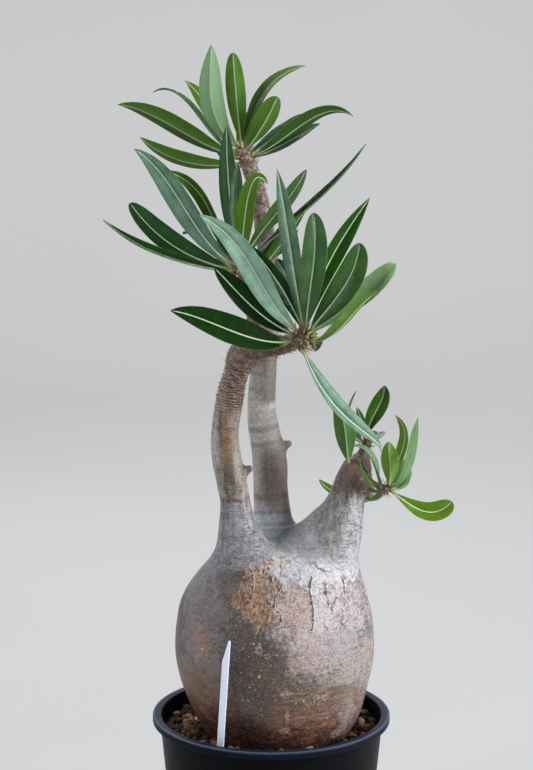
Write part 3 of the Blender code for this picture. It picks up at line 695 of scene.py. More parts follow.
BELLY_PATCHES_AND_PAINTED_LIGHT = (
    ((-34, -26, 241), (32, 60, 22), (0.23, 0.24, 0.27), 0.9),
    ((-52, -20, 188), (24, 60, 40), (0.175, 0.17, 0.178), 0.85),
    ((-36, -40, 212), (16, 40, 14), (0.18, 0.16, 0.158), 0.7),
    # painted shade: the belly's left edge, darker as if turned away from the light
    ((-61, 0, 186), (14, 60, 50), (0.066, 0.061, 0.059), 0.88),
    # painted highlight: a pale upright streak on the belly's left side
    ((-47, -30, 205), (5, 40, 30), (0.25, 0.245, 0.26), 0.45),
    ((-42, -36, 146), (24, 50, 25), (0.16, 0.085, 0.045), 0.9),
    ((-43, -42, 188), (4, 20, 10), (0.33, 0.19, 0.12), 0.65),
    ((-23, -38, 224), (9, 40, 17), (0.1, 0.076, 0.066), 0.85),
    ((-13, -57, 190), (20, 40, 24), (0.06, 0.052, 0.047), 0.92),
    ((3, -60, 164), (28, 40, 22), (0.07, 0.052, 0.04), 0.9),
    ((33, -44, 203), (28, 50, 28), (0.44, 0.385, 0.395), 0.96),
    ((28, -26, 230), (31, 50, 13), (0.54, 0.53, 0.55), 0.95),
    ((14, -50, 210), (9, 30, 14), (0.4, 0.3, 0.275), 0.8),
    ((26, -54, 179), (15, 30, 12), (0.36, 0.295, 0.285), 0.85),
    ((43, -43, 189), (12, 30, 7), (0.24, 0.25, 0.27), 0.55),
    ((50, -30, 166), (16, 50, 15), (0.34, 0.295, 0.28), 0.85),
    ((32, -46, 150), (26, 50, 12), (0.145, 0.09, 0.064), 0.85),
    ((-17, -30, 249), (5, 20, 6), (0.05, 0.043, 0.03), 0.85),
    ((-21, -32, 238), (4, 20, 7), (0.085, 0.05, 0.032), 0.8),
    ((14, -8, 242), (18, 26, 9), (0.2, 0.21, 0.2), 0.85),
)
for centre, radii, colour, strength in BELLY_PATCHES_AND_PAINTED_LIGHT:
    skin = bark.mix(worn(bark.patch(centre, radii, ragged, 0.7)) * strength, skin, colour)
print(len(BELLY_PATCHES_AND_PAINTED_LIGHT), "patches on the belly")

# %% Bark: the orange patch where it has flaked
flaked = bark.step(
    bark.patch((-8, -46, 218), (14, 40, 19), ragged, 0.25) + (fleck - 0.5) * 1.6, 0.3, 0.7)
fibres = bark.noise(1.9, 4, torn, (1, 1, 3.2), 0.66)
rust = bark.ramp(fibres, (0.36, (0.085, 0.04, 0.02)), (0.45, (0.22, 0.105, 0.05)),
                 (0.54, (0.31, 0.18, 0.105)), (0.66, (0.42, 0.33, 0.26)))
tan_fibres = bark.patch((0, -38, 229), (8, 30, 8), ragged, 0.5) * bark.step(fibres, 0.42, 0.58)
skin = bark.layered(skin, (flaked * 0.94, rust), (tan_fibres * 0.8, (0.46, 0.4, 0.33)))
print("the flaked patch is laid")

# %% Bark: the stained foot
old = 1 - bark.maths("MAXIMUM", bark.maths("MAXIMUM", left, back), right)
foot = worn(1 - bark.step(loose_height, 128, 162))
stain = bark.ramp(bark.noise(3.2, 4, stretch=(2.8, 2.8, 1), roughness=0.65),
                  (0.36, (0.04, 0.008, 0.002)), (0.5, (0.12, 0.034, 0.009)),
                  (0.64, (0.27, 0.12, 0.055)))
purple = bark.patch((-20, -48, 132), (18, 30, 15), ragged, 0.5)
buried = 1 - bark.step(loose_height, 120, 141)
pale_foot = bark.patch((47, -30, 137), (7, 30, 14), ragged, 0.5)
skin = bark.layered(
    skin, (foot * 0.9, stain), (purple * 0.75, (0.035, 0.018, 0.024)),
    (buried * 0.85, (0.036, 0.008, 0.003)), (pale_foot * 0.6, (0.3, 0.27, 0.25)))
print("the foot is stained")


# %% Bark: flecks, dots and old scars
def dots_of(size, widest):
    """1 on round dots, at most that wide in millimetres, one in a cell of that size."""
    cell = bark.cells(size, at=torn)
    radius = (bark.chance(cell) * 0.5 + 0.5) * (widest / 2 / size)
    return 1 - bark.step(cell / radius, 0.6, 1)


SPOTS = (
    ((8, -54, 134), (3.4, 20, 2.6)), ((40, -36, 126), (4.2, 20, 3)),
    ((29, -51, 153), (4.6, 20, 3.8)), ((8.5, -59, 159), (4.2, 20, 2.6)),
    ((9, -56, 143), (1.3, 20, 5)), ((-8, -60, 187), (2.2, 20, 4)),
    ((-3, -60, 183.5), (2.2, 20, 1.6)),
)
peppered = old * worn(bark.patch((-4, -54, 180), (56, 60, 40), ragged, 0.5))
flecks = bark.step(bark.noise(1.3, 3), 0.57, 0.66) * old * (1 - bark.step(height, 212, 228))
rusty = (bark.step(bark.noise(1.6, 3, stretch=(1.6, 1.6, 1)), 0.54, 0.62) * old
         * bark.step(bark.noise(15, 2), 0.42, 0.54) * (1 - bark.step(height, 205, 222)))
dots = bark.maths("MAXIMUM", dots_of(5.2, 2.5), dots_of(3.0, 1.3)) * peppered
spots = sum(bark.patch(centre, radii, torn, 0.35) for centre, radii in SPOTS)
skin = bark.layered(
    skin, (flecks * 0.42, (0.4, 0.27, 0.2)), (rusty * 0.42, (0.26, 0.11, 0.055)),
    (dots * 0.85, (0.54, 0.42, 0.37)),
    (spots * bark.step(fleck, 0.38, 0.6) * 0.85, (0.38, 0.28, 0.235)))
print(len(SPOTS), "large old scars")

# %% [markdown]
# The belly has split as it swelled. The splits are few and each has its own course, so they are
# written down as lines on the front of the belly, in x and height. A line's pattern is the distance
# to its nearest stretch: small on the split itself, a little larger on its raised pale lips.

# %% Bark: the splits of the belly
SPLITS = (
    (1.1, (-13, 231), (-11.6, 228), (-11.5, 220), (-12.5, 215)),
    (1.0, (-2.5, 232), (-1, 228), (0.8, 223)),
    (1.2, (6, 224.5), (5.8, 221), (2.5, 218.5), (1.3, 213), (2.2, 209), (5.4, 207), (6, 203.5)),
    (0.8, (-3, 222.6), (-2.4, 218), (-2.2, 214), (0.8, 212.5)),
    (1.3, (24.4, 225.3), (22.9, 219), (24.7, 211), (25.2, 207), (24.3, 198)),
    (1.0, (32.7, 220.7), (33.4, 215)), (0.6, (34.5, 213), (34.7, 210.7)),
    (0.7, (40, 212.5), (37, 209), (36.7, 206)),
    (0.6, (43, 205), (43.4, 201.6), (42.8, 198.6)),
    (0.45, (6, 235), (6, 229), (5.5, 226.8), (10, 226.4)),
    (0.5, (27.3, 232), (27.8, 229.3), (31.7, 227.5), (36.2, 226.6)),
    (0.45, (43.6, 223), (44.7, 219), (45.1, 213.6)),
)


def split_distance(at):
    """How many widths the point lies from the nearest split, seen from the front."""
    apart = bark.parts(at)
    flat = bark.joined(apart["X"], apart["Z"])
    nearest = 99.0
    for width, *split in SPLITS:
        for (x, z), (next_x, next_z) in zip(split, split[1:]):
            step = (next_x - x, next_z - z, 0.0)
            long = step[0] ** 2 + step[1] ** 2
            away = bark.vector("SUBTRACT", flat, (x, z, 0.0))
            share = bark.node("ShaderNodeClamp", None, {
                "Value": bark.vector("DOT_PRODUCT", away, (step[0] / long, step[1] / long, 0.0))})
            along = bark.node("ShaderNodeVectorMath", {"operation": "SCALE"}, {0: step, 3: share})
            nearest = bark.maths("MINIMUM", bark.vector("LENGTH", away - along) / width, nearest)
    return nearest


from_split = split_distance(bark.warped((0.9, 3.0), (0.4, 1.1)))
front = 1 - bark.step(depth_y, -18, -8)
split_width = bark.maths("MAXIMUM", bark.noise(3.0, 2) * 2.2 - 0.72, 0.06)
cracks = (1 - bark.step(from_split / split_width, 0.45, 1.25)) * front
rims = (1 - bark.step(from_split, 0.4, 1.7)) * front
print(sum(len(split) - 2 for split in SPLITS), "stretches of split bark")

# %% [markdown]
# Wrinkles are level, and there are too many to write down. The place where a smooth noise passes
# one half is a long thin line, and stretching the noise lays it level. The finest, on the
# shoulders, are evenly spaced, so they come from a sine of the height that a second noise breaks
# into dashes.


# %% Bark: plates, wrinkles and dashes
DASH_RISE = 2.0


def lines(size, stretch, width, at):
    """1 on thin lines where the stretched noise passes one half."""
    return 1 - bark.step(bark.maths("ABSOLUTE", bark.noise(size, 2, at, stretch) - 0.5), 0, width)


plate_zone = bark.patch((25, -28, 222), (36, 50, 20), ragged) * old
plate_edges = bark.cells(5.5, "DISTANCE_TO_EDGE", bark.warped((2.2, 4.0)), (1, 1, 1.9))
plates = ((1 - bark.step(plate_edges, 0.01, 0.07)) * plate_zone
          * bark.step(bark.noise(9, 1), 0.46, 0.56))
smooth_skin = 1 - bark.maths("MAXIMUM", young, back)
wrinkle_zone = bark.step(bark.noise(24, 2), 0.42, 0.56) * smooth_skin * (1 - plate_zone)
wrinkles = (lines(1, (8, 8, 1.3), 0.045, torn) * wrinkle_zone
            * bark.step(bark.noise(6, 1), 0.45, 0.55))
level_wave = bark.maths("SINE", (height + bark.noise(6, 1) * 3) * (2 * math.pi / DASH_RISE))
dash_zone = bark.step(loose_height, 208, 226) * smooth_skin * (1 - plate_zone) * (1 - flaked)
dashes = (bark.step(level_wave, 0.8, 1.0) * dash_zone
          * bark.step(bark.noise(3.0, 2, stretch=(2.0, 2.0, 0.7)), 0.5, 0.62))
folds = bark.noise(1, 2, torn, (9, 9, 1.5))
creased = bark.patch((34, -40, 165), (34, 60, 30), ragged, 0.5) * old
skin = bark.layered(
    skin, (bark.step(folds, 0.53, 0.62) * creased * 0.4, (0.38, 0.24, 0.155)),
    (bark.step(folds, 0.46, 0.37) * creased * 0.4, (0.13, 0.11, 0.11)))
print("plates and wrinkles are drawn")

# %% [markdown]
# The stems are streaked along their length and banded across it, and each has its own order of
# colours from the fork upwards, so each gets a ramp over its height.

# %% Bark: the wood of the three stems
STEM_Z = (235.0, 485.0)
WOODS = (
    (left, (250, (0.26, 0.265, 0.29)), (269, (0.27, 0.265, 0.275)), (272, (0.08, 0.045, 0.03)),
     (274, (0.23, 0.195, 0.16)), (285, (0.11, 0.086, 0.062)), (300, (0.135, 0.105, 0.075)),
     (320, (0.2, 0.13, 0.085)), (331, (0.21, 0.135, 0.095))),
    (back, (250, (0.44, 0.48, 0.53)), (262, (0.15, 0.125, 0.11)), (289, (0.12, 0.095, 0.08)),
     (298, (0.28, 0.27, 0.255)), (318, (0.29, 0.28, 0.265)), (321.5, (0.38, 0.365, 0.34)),
     (325, (0.14, 0.112, 0.092)), (358, (0.132, 0.106, 0.088)), (395, (0.36, 0.27, 0.225))),
    (right, (250, (0.41, 0.425, 0.46)), (262, (0.36, 0.36, 0.375)), (274, (0.13, 0.098, 0.078)),
     (282, (0.075, 0.05, 0.036)), (300, (0.06, 0.038, 0.026))),
)
streaks = bark.noise(2.4, 3, torn, (1, 1, 8))
stem_height = height + (streaks - 0.5) * (right * 34 + 5)


def by_height(stops):
    """A ramp whose stops are heights in millimetres."""
    low, high = STEM_Z
    shares = [((z - low) / (high - low), colour) for z, colour in stops]
    return bark.ramp((stem_height - low) / (high - low), *shares)


for share, *stops in WOODS:
    skin = bark.mix(share * 0.92, skin, by_height(stops))
print(len(WOODS), "stems are coloured")

# %% Bark: smudges, painted light and shade, streaks and bands of the stems
STEM_SMUDGES_AND_PAINTED_LIGHT = (
    # painted highlight: the pale left edge of the left stem
    (left, (-35, -22, 306), (5.5, 40, 32), (0.46, 0.42, 0.37), 0.75),
    (left, (-30.5, -30, 312), (2.4, 40, 15), (0.07, 0.036, 0.03), 0.8),
    # painted highlight: the pale right edge of the left stem
    (left, (-20.5, -28, 310), (3.0, 40, 24), (0.44, 0.37, 0.3), 0.7),
    (left, (-26, -30, 314), (4.5, 30, 19), (0.25, 0.14, 0.055), 0.75),
    # painted shade down the middle of the left stem, with painted highlights on its two edges
    (left, (-25, -28, 281), (3.2, 40, 9), (0.1, 0.085, 0.045), 0.65),
    (left, (-32, -24, 281), (3.5, 40, 10), (0.33, 0.3, 0.26), 0.5),
    (left, (-17, -26, 280), (4.0, 40, 8), (0.38, 0.34, 0.29), 0.6),
    # painted highlights on the two edges of the back stem, with painted shade down its middle
    (back, (-14, 27, 290), (8, 40, 76), (0.45, 0.42, 0.39), 0.65),
    (back, (12, 27, 275), (8, 40, 32), (0.36, 0.28, 0.25), 0.6),
    (back, (1, 27, 274), (5.5, 40, 17), (0.105, 0.075, 0.062), 0.55),
    (right, (36, -12, 252), (10, 40, 26), (0.165, 0.16, 0.145), 0.85),
    (right, (44, 0, 288), (5, 40, 8), (0.14, 0.112, 0.1), 0.6),
    (right, (51, 0, 285), (3.5, 40, 3.5), (0.2, 0.09, 0.045), 0.6),
    (right, (54, 0, 277), (4, 40, 5), (0.035, 0.03, 0.018), 0.6),
)
for share, centre, radii, colour, strength in STEM_SMUDGES_AND_PAINTED_LIGHT:
    skin = bark.mix(bark.patch(centre, radii, torn, 0.5) * share * strength, skin, colour)
bands = bark.noise(5.0, 1, at=bark.joined(run))
stems = 1 - old
streaked = stems * (1 - back * 0.75) * (1 - young * 0.6)
skin = bark.layered(
    skin, (bark.step(streaks, 0.5, 0.62) * streaked * 0.35, (0.1, 0.07, 0.048)),
    (bark.step(streaks, 0.5, 0.38) * streaked * 0.32, (0.42, 0.41, 0.41)),
    (bark.step(bands, 0.5, 0.64) * stems * (0.28 + back * 0.2), (0.12, 0.09, 0.07)))
print(len(STEM_SMUDGES_AND_PAINTED_LIGHT), "smudges on the stems")

# %% Bark: young wood, with painted highlights on its ringed edges
RING_RISE = 1.75
# painted highlights: pale patches on the ringed wood at the left stem's two edges and at its elbow
PAINTED_RING_HIGHLIGHTS = (((-31, -24, 346), (4, 40, 26), 0.6), ((-12, -28, 350), (3.5, 40, 22), 0.5),
              ((-24, -28, 377), (9, 40, 7), 0.45))
rings = bark.maths("SINE", (run + bark.noise(4, 1) * 1.6) * (2 * math.pi / RING_RISE)) * 0.5 + 0.5
ringed = young * left
young_wood = bark.ramp(bark.noise(3.0, 3), (0.36, (0.085, 0.04, 0.02)),
                       (0.52, (0.15, 0.086, 0.053)), (0.68, (0.32, 0.225, 0.17)))
skin = bark.mix(young * (1 - back * 0.75) * (1 - right * 0.65) * 0.85, skin, young_wood)
for centre, radii, strength in PAINTED_RING_HIGHLIGHTS:
    painted_ring_highlight = bark.patch(centre, radii, torn, 0.5) * ringed * strength
    skin = bark.mix(painted_ring_highlight, skin, (0.5, 0.4, 0.33))
knots = bark.step(bark.noise(3.6, 3, roughness=0.6), 0.47, 0.57) * young * back
skin = bark.layered(
    skin, (knots * 0.75, (0.11, 0.062, 0.042)),
    (ringed * (1 - bark.step(rings, 0.1, 0.5)) * 0.8, (0.05, 0.025, 0.016)),
    (ringed * bark.step(rings, 0.55, 0.95) * 0.4, (0.46, 0.35, 0.29)))
print("the young wood is ringed")

# %% Bark: splits and wrinkles over everything, and relief
skin = bark.layered(
    skin, (rims * 0.55, (0.56, 0.5, 0.46)), (plates * 0.65, (0.21, 0.17, 0.15)),
    (cracks * 0.88, (0.035, 0.034, 0.022)), (wrinkles * 0.5, (0.09, 0.068, 0.058)),
    (dashes * 0.38, (0.09, 0.075, 0.068)))
speckle = bark.ramp(grain * 0.6 + fleck * 0.4, (0.36, (0.44, 0.42, 0.41)), (0.62, (1.2, 1.2, 1.2)))
skin = bark.mix(0.82, skin, speckle, "MULTIPLY")
swell = (fleck * 0.6 + grain * 0.2 + dots * 0.8 + spots * 0.5 + rims * 0.4 + folds * 0.5 * old
         - cracks * 1.3 - plates * 0.35 - wrinkles * 0.3 - dashes * 0.25
         - flaked * (0.3 - fibres * 0.9) + rings * (ringed * 0.5 + stems * 0.05) + knots * 0.7)
bark.wear(Base_Color=skin, Normal=bark.bump(swell, 1.0),
          Roughness=0.32 + fleck * 0.22 + foot * 0.12)
woody_plant.data.materials.clear()
woody_plant.data.materials.append(bark.material)
print("bark has", len(bark.group.nodes), "nodes")

# %% [markdown]
# ## Leaf scars and spines
#
# Each leaf that falls leaves a scar, and each scar keeps its pair of spines. On the real plant they
# stand in a spiral with the golden angle between neighbours: crowded into ridges on the left stem,
# wide apart elsewhere, and as a star of long spines round each growing tip. Lists of places serve
# three recipes: a flat cushion for the scar, thin cones for the spines, and curled scale leaves
# for the growing tips.

# %% Places along the young wood
RING_TURN = math.radians(57)
SPIRAL_START = (0.3, 1, 0.2)
USUAL_RADIUS = 7.0
MOST_BEND = 1.4
SCAR_RUNS = (
    ("left_stem", 0.8, 1.0, 0.28, 0.8, RING_TURN), ("front_branch", 0.0, 0.8, 0.3, 0.75),
    ("rear_branch", 0.0, 0.9, 0.34, 0.7), ("back_stem", 0.74, 0.97, 0.7, 0.6),
    ("right_shoot", 0.2, 0.95, 1.2, 0.6), ("low_shoot", 0.2, 0.95, 1.2, 0.6),
)
SPINE_RUNS = (
    ("left_stem", 0.84, 1.0, 0.7, 0.5), ("front_branch", 0.0, 0.84, 1.0, 0.75),
    ("front_branch", 0.84, 1.06, 0.27, 1.9), ("rear_branch", 0.0, 0.86, 1.2, 0.75),
    ("rear_branch", 0.86, 1.04, 0.35, 1.7), ("back_stem", 0.72, 0.96, 1.9, 0.7),
    ("back_stem", 0.965, 1.01, 0.4, 1.6), ("right_shoot", 0.1, 0.7, 1.6, 0.5),
    ("right_shoot", 0.7, 1.05, 0.5, 1.3), ("low_shoot", 0.1, 0.7, 1.4, 0.55),
    ("low_shoot", 0.7, 1.05, 0.5, 1.4),
)


def ring_places(name, start, end, rise, size, step_round=GOLDEN_ANGLE):
    """Foot, upward direction and size of each place on a spiral up a branch. A share over 1 goes on
    over the round end of the branch."""
    line = LINES[name]
    lengths = np.concatenate([[0], np.cumsum(np.linalg.norm(np.diff(line[:, :3], axis=0), axis=1))])
    for number, place in enumerate(np.arange(start * lengths[-1], end * lengths[-1], rise)):
        run = min(place, lengths[-1] - 0.5)
        here, ahead, behind = (
            np.array([np.interp(run + step, lengths, column) for column in line.T])
            for step in (0, 0.5, -0.5))
        upward = (ahead - behind)[:3] / np.linalg.norm((ahead - behind)[:3])
        across = np.cross(SPIRAL_START, upward)
        across /= np.linalg.norm(across)
        turn = number * step_round
        spoke = across * math.cos(turn) + np.cross(upward, across) * math.sin(turn)
        bend = min((place - run) / here[3], MOST_BEND)
        spoke = spoke * math.cos(bend) + upward * math.sin(bend)
        yield (*(here[:3] + here[3] * spoke), *upward, size * (here[3] / USUAL_RADIUS) ** 0.5)


def all_places(runs):
    """The places of all runs, laid on the wood: foot, outward and upward direction, size."""
    rows = np.array([row for run_values in runs for row in ring_places(*run_values)])
    feet = onto_plant(rows[:, :3])
    return np.hstack([feet, plant_slope(feet), rows[:, 3:]])


def place_mesh(rows):
    """A mesh of loose points that carry their directions and sizes."""
    mesh = bpy.data.meshes.new("places")
    mesh.from_pydata((rows[:, :3] * MM).tolist(), [], [])
    for name, columns in (("out", rows[:, 3:6]), ("up", rows[:, 6:9])):
        directions = mesh.attributes.new(name, "FLOAT_VECTOR", "POINT")
        directions.data.foreach_set("vector", columns.ravel())
    write_number(mesh, "size", rows[:, 9])
    return mesh


scar_rows, spine_rows = all_places(SCAR_RUNS), all_places(SPINE_RUNS)
print(len(scar_rows), "leaf scars and", len(spine_rows), "pairs of spines")


# %% Recipes for scars and spines
def standing_on(recipe, thing, low, high):
    """The thing on every source point, its Z outward and its Y up the stem."""
    turn = recipe.node(
        "FunctionNodeAxesToRotation", {"primary_axis": "Z", "secondary_axis": "Y"},
        {0: recipe.number("out", "FLOAT_VECTOR"), 1: recipe.number("up", "FLOAT_VECTOR")})
    points = recipe.node("GeometryNodeMeshToPoints", None, {"Mesh": recipe.given("Source")})
    return recipe.node("GeometryNodeInstanceOnPoints", None, {
        "Points": points, "Instance": thing, "Rotation": turn,
        "Scale": recipe.random(low, high, 1) * recipe.number("size") * MM})


def moved(recipe, thing, **values):
    return recipe.node("GeometryNodeTransform", None, {"Geometry": thing, **values})


scar_recipe = Recipe("leaf scars", {"Width": 2.3, "Height": 0.5, "Depth": 0.3, "Seed": 3})
ball = scar_recipe.node("GeometryNodeMeshIcoSphere", None, {"Radius": 1.0, "Subdivisions": 2})
stretched = scar_recipe.joined(*map(scar_recipe.given, ("Width", "Height", "Depth")))
scar_recipe.end(standing_on(scar_recipe, moved(scar_recipe, ball, Scale=stretched), 0.8, 1.15))

spine_recipe = Recipe("spines", {"Length": 4.6, "Thickness": 0.3, "Lean": 0.45, "Spread": 0.5,
                                 "Seed": 8})
cone = spine_recipe.node("GeometryNodeMeshCone", None, {
    "Vertices": 5, "Side Segments": 2, "Radius Top": 0.03,
    "Radius Bottom": spine_recipe.given("Thickness"), "Depth": spine_recipe.given("Length")})
pair = []
for side in (-1, 1):
    spread = side * spine_recipe.given("Spread")
    lean = spine_recipe.joined(-1 * spine_recipe.given("Lean"), spread)
    pair.append(moved(spine_recipe, cone, Rotation=lean, Translation=spine_recipe.joined(spread)))
pair = spine_recipe.node("GeometryNodeJoinGeometry", None, {0: pair})
spine_recipe.end(standing_on(spine_recipe, pair, 0.6, 1.15))

bract_recipe = Recipe("bracts", {"Length": 5.0, "Width": 1.5, "Curl": 1.6, "Lean": 0.55,
                                 "Seed": 12})
cone = bract_recipe.node("GeometryNodeMeshCone", None, {
    "Vertices": 8, "Side Segments": 5, "Radius Top": 0.05, "Radius Bottom": 1.0, "Depth": 1.0})
spot = bract_recipe.parts(bract_recipe.node("GeometryNodeInputPosition"))
curl = spot["Z"] * spot["Z"] * bract_recipe.given("Curl")
shaped = bract_recipe.joined(
    spot["X"] * bract_recipe.given("Width"), spot["Y"] * bract_recipe.given("Width") * 0.4 - curl,
    spot["Z"] * bract_recipe.given("Length"))
cone = bract_recipe.node("GeometryNodeSetPosition", None, {"Geometry": cone, "Position": shaped})
lean = bract_recipe.joined(-1 * bract_recipe.given("Lean"))
bract_recipe.end(standing_on(bract_recipe, moved(bract_recipe, cone, Rotation=lean), 0.6, 1.2))
for recipe in (scar_recipe, spine_recipe, bract_recipe):
    print(recipe.group.name, "has", len(recipe.group.nodes), "nodes")

# %% Scars, spines and scale leaves with their finishes
scar_wood = lumpy_finish("scar_wood", 0.3, (1.4, 4), (
    (0.32, (0.09, 0.052, 0.036)), (0.5, (0.21, 0.142, 0.108)), (0.66, (0.38, 0.29, 0.245))),
    (0.55, 0.25), 0.2)
spine_horn = lumpy_finish("spine_horn", 0.4, (2.2, 2), (
    (0.35, (0.13, 0.06, 0.035)), (0.6, (0.3, 0.17, 0.11))), (0.45, 0.2), 0.05)
# the scale leaves' brown and yellow-green, made brighter as painted light where the leaves shade
# them
bract_green = lumpy_finish("bract_green", 0.3, (2.6, 3), (
    (0.36, (0.26, 0.18, 0.08)), (0.48, (0.42, 0.42, 0.15)), (0.62, (0.58, 0.62, 0.28))),
    (0.45, 0.2), 0.1)
BRACT_RUNS = (("front_branch", 0.97, 1.14, 0.3, 1.2), ("rear_branch", 0.95, 1.14, 0.4, 1.1),
              ("back_stem", 0.985, 1.025, 0.4, 1.1), ("right_shoot", 0.85, 1.2, 0.45, 0.9),
              ("low_shoot", 0.85, 1.2, 0.45, 0.9))
bracts = bract_recipe.make("bracts", place_mesh(all_places(BRACT_RUNS)), bract_green)
leaf_scars = scar_recipe.make("leaf_scars", place_mesh(scar_rows), scar_wood)
spines = spine_recipe.make("spines", place_mesh(spine_rows), spine_horn)
for piece in (leaf_scars, spines, bracts):
    print(piece.name, "has", len(piece.data.polygons), "faces")

# %% [markdown]
# ## Leaves
#
# A pachypodium leaf is a long folded blade on a short stalk, with a pale sunken midrib on its upper
# side and a keel below. All 53 follow one rule, so one recipe makes them: a closed tube is bent
# along a Bezier midrib and flattened, its width follows the leaf's outline, and its two halves are
# lifted into a shallow V. The leaves differ only in their numbers, which are the solid model's own.

# %% Heads and leaves, in millimetres and degrees
HEADS = {
    "front": ((20, -46.5, 375), (0.8, -0.45, 0.4)),
    "rear": ((-19, -16, 412.5), (-0.45, 0.15, 0.88)),
    "top": ((-17.5, 24, 479), (-0.4, 0, 0.92)),
    "right": ((60.5, 14, 300.5), (0.35, 0.25, 0.9)),
    "low": ((71.5, -4, 273.5), (0.9, -0.4, 0.1)),
    "shoulder": ((48.5, 3, 287), (0, 0, 1)),
}


def leaf(tip, low=(0, 0, 0), high=(0, 0, 0), width=12, face=(0, -1, 0.2), belly=0.55, point=0.7,
         rise=0.95, twist=0, fold=16, drop=0):
    """One leaf, seen from its growing tip. tip is the reach of its point. low and high are how far
    the midrib bows off the straight line at one third and at two thirds of its way. face is where
    the upper side looks. belly is the share of the length where the blade is widest, point runs
    from 0.5 for a round end to 1.2 for a sharp one, and a large rise narrows the foot of the blade.
    twist and fold are in degrees, and drop is how far below the growing tip the leaf is rooted."""
    return dict(tip=tip, low=low, high=high, width=width, face=face, belly=belly, point=point,
                rise=rise, twist=twist, fold=fold, drop=drop)


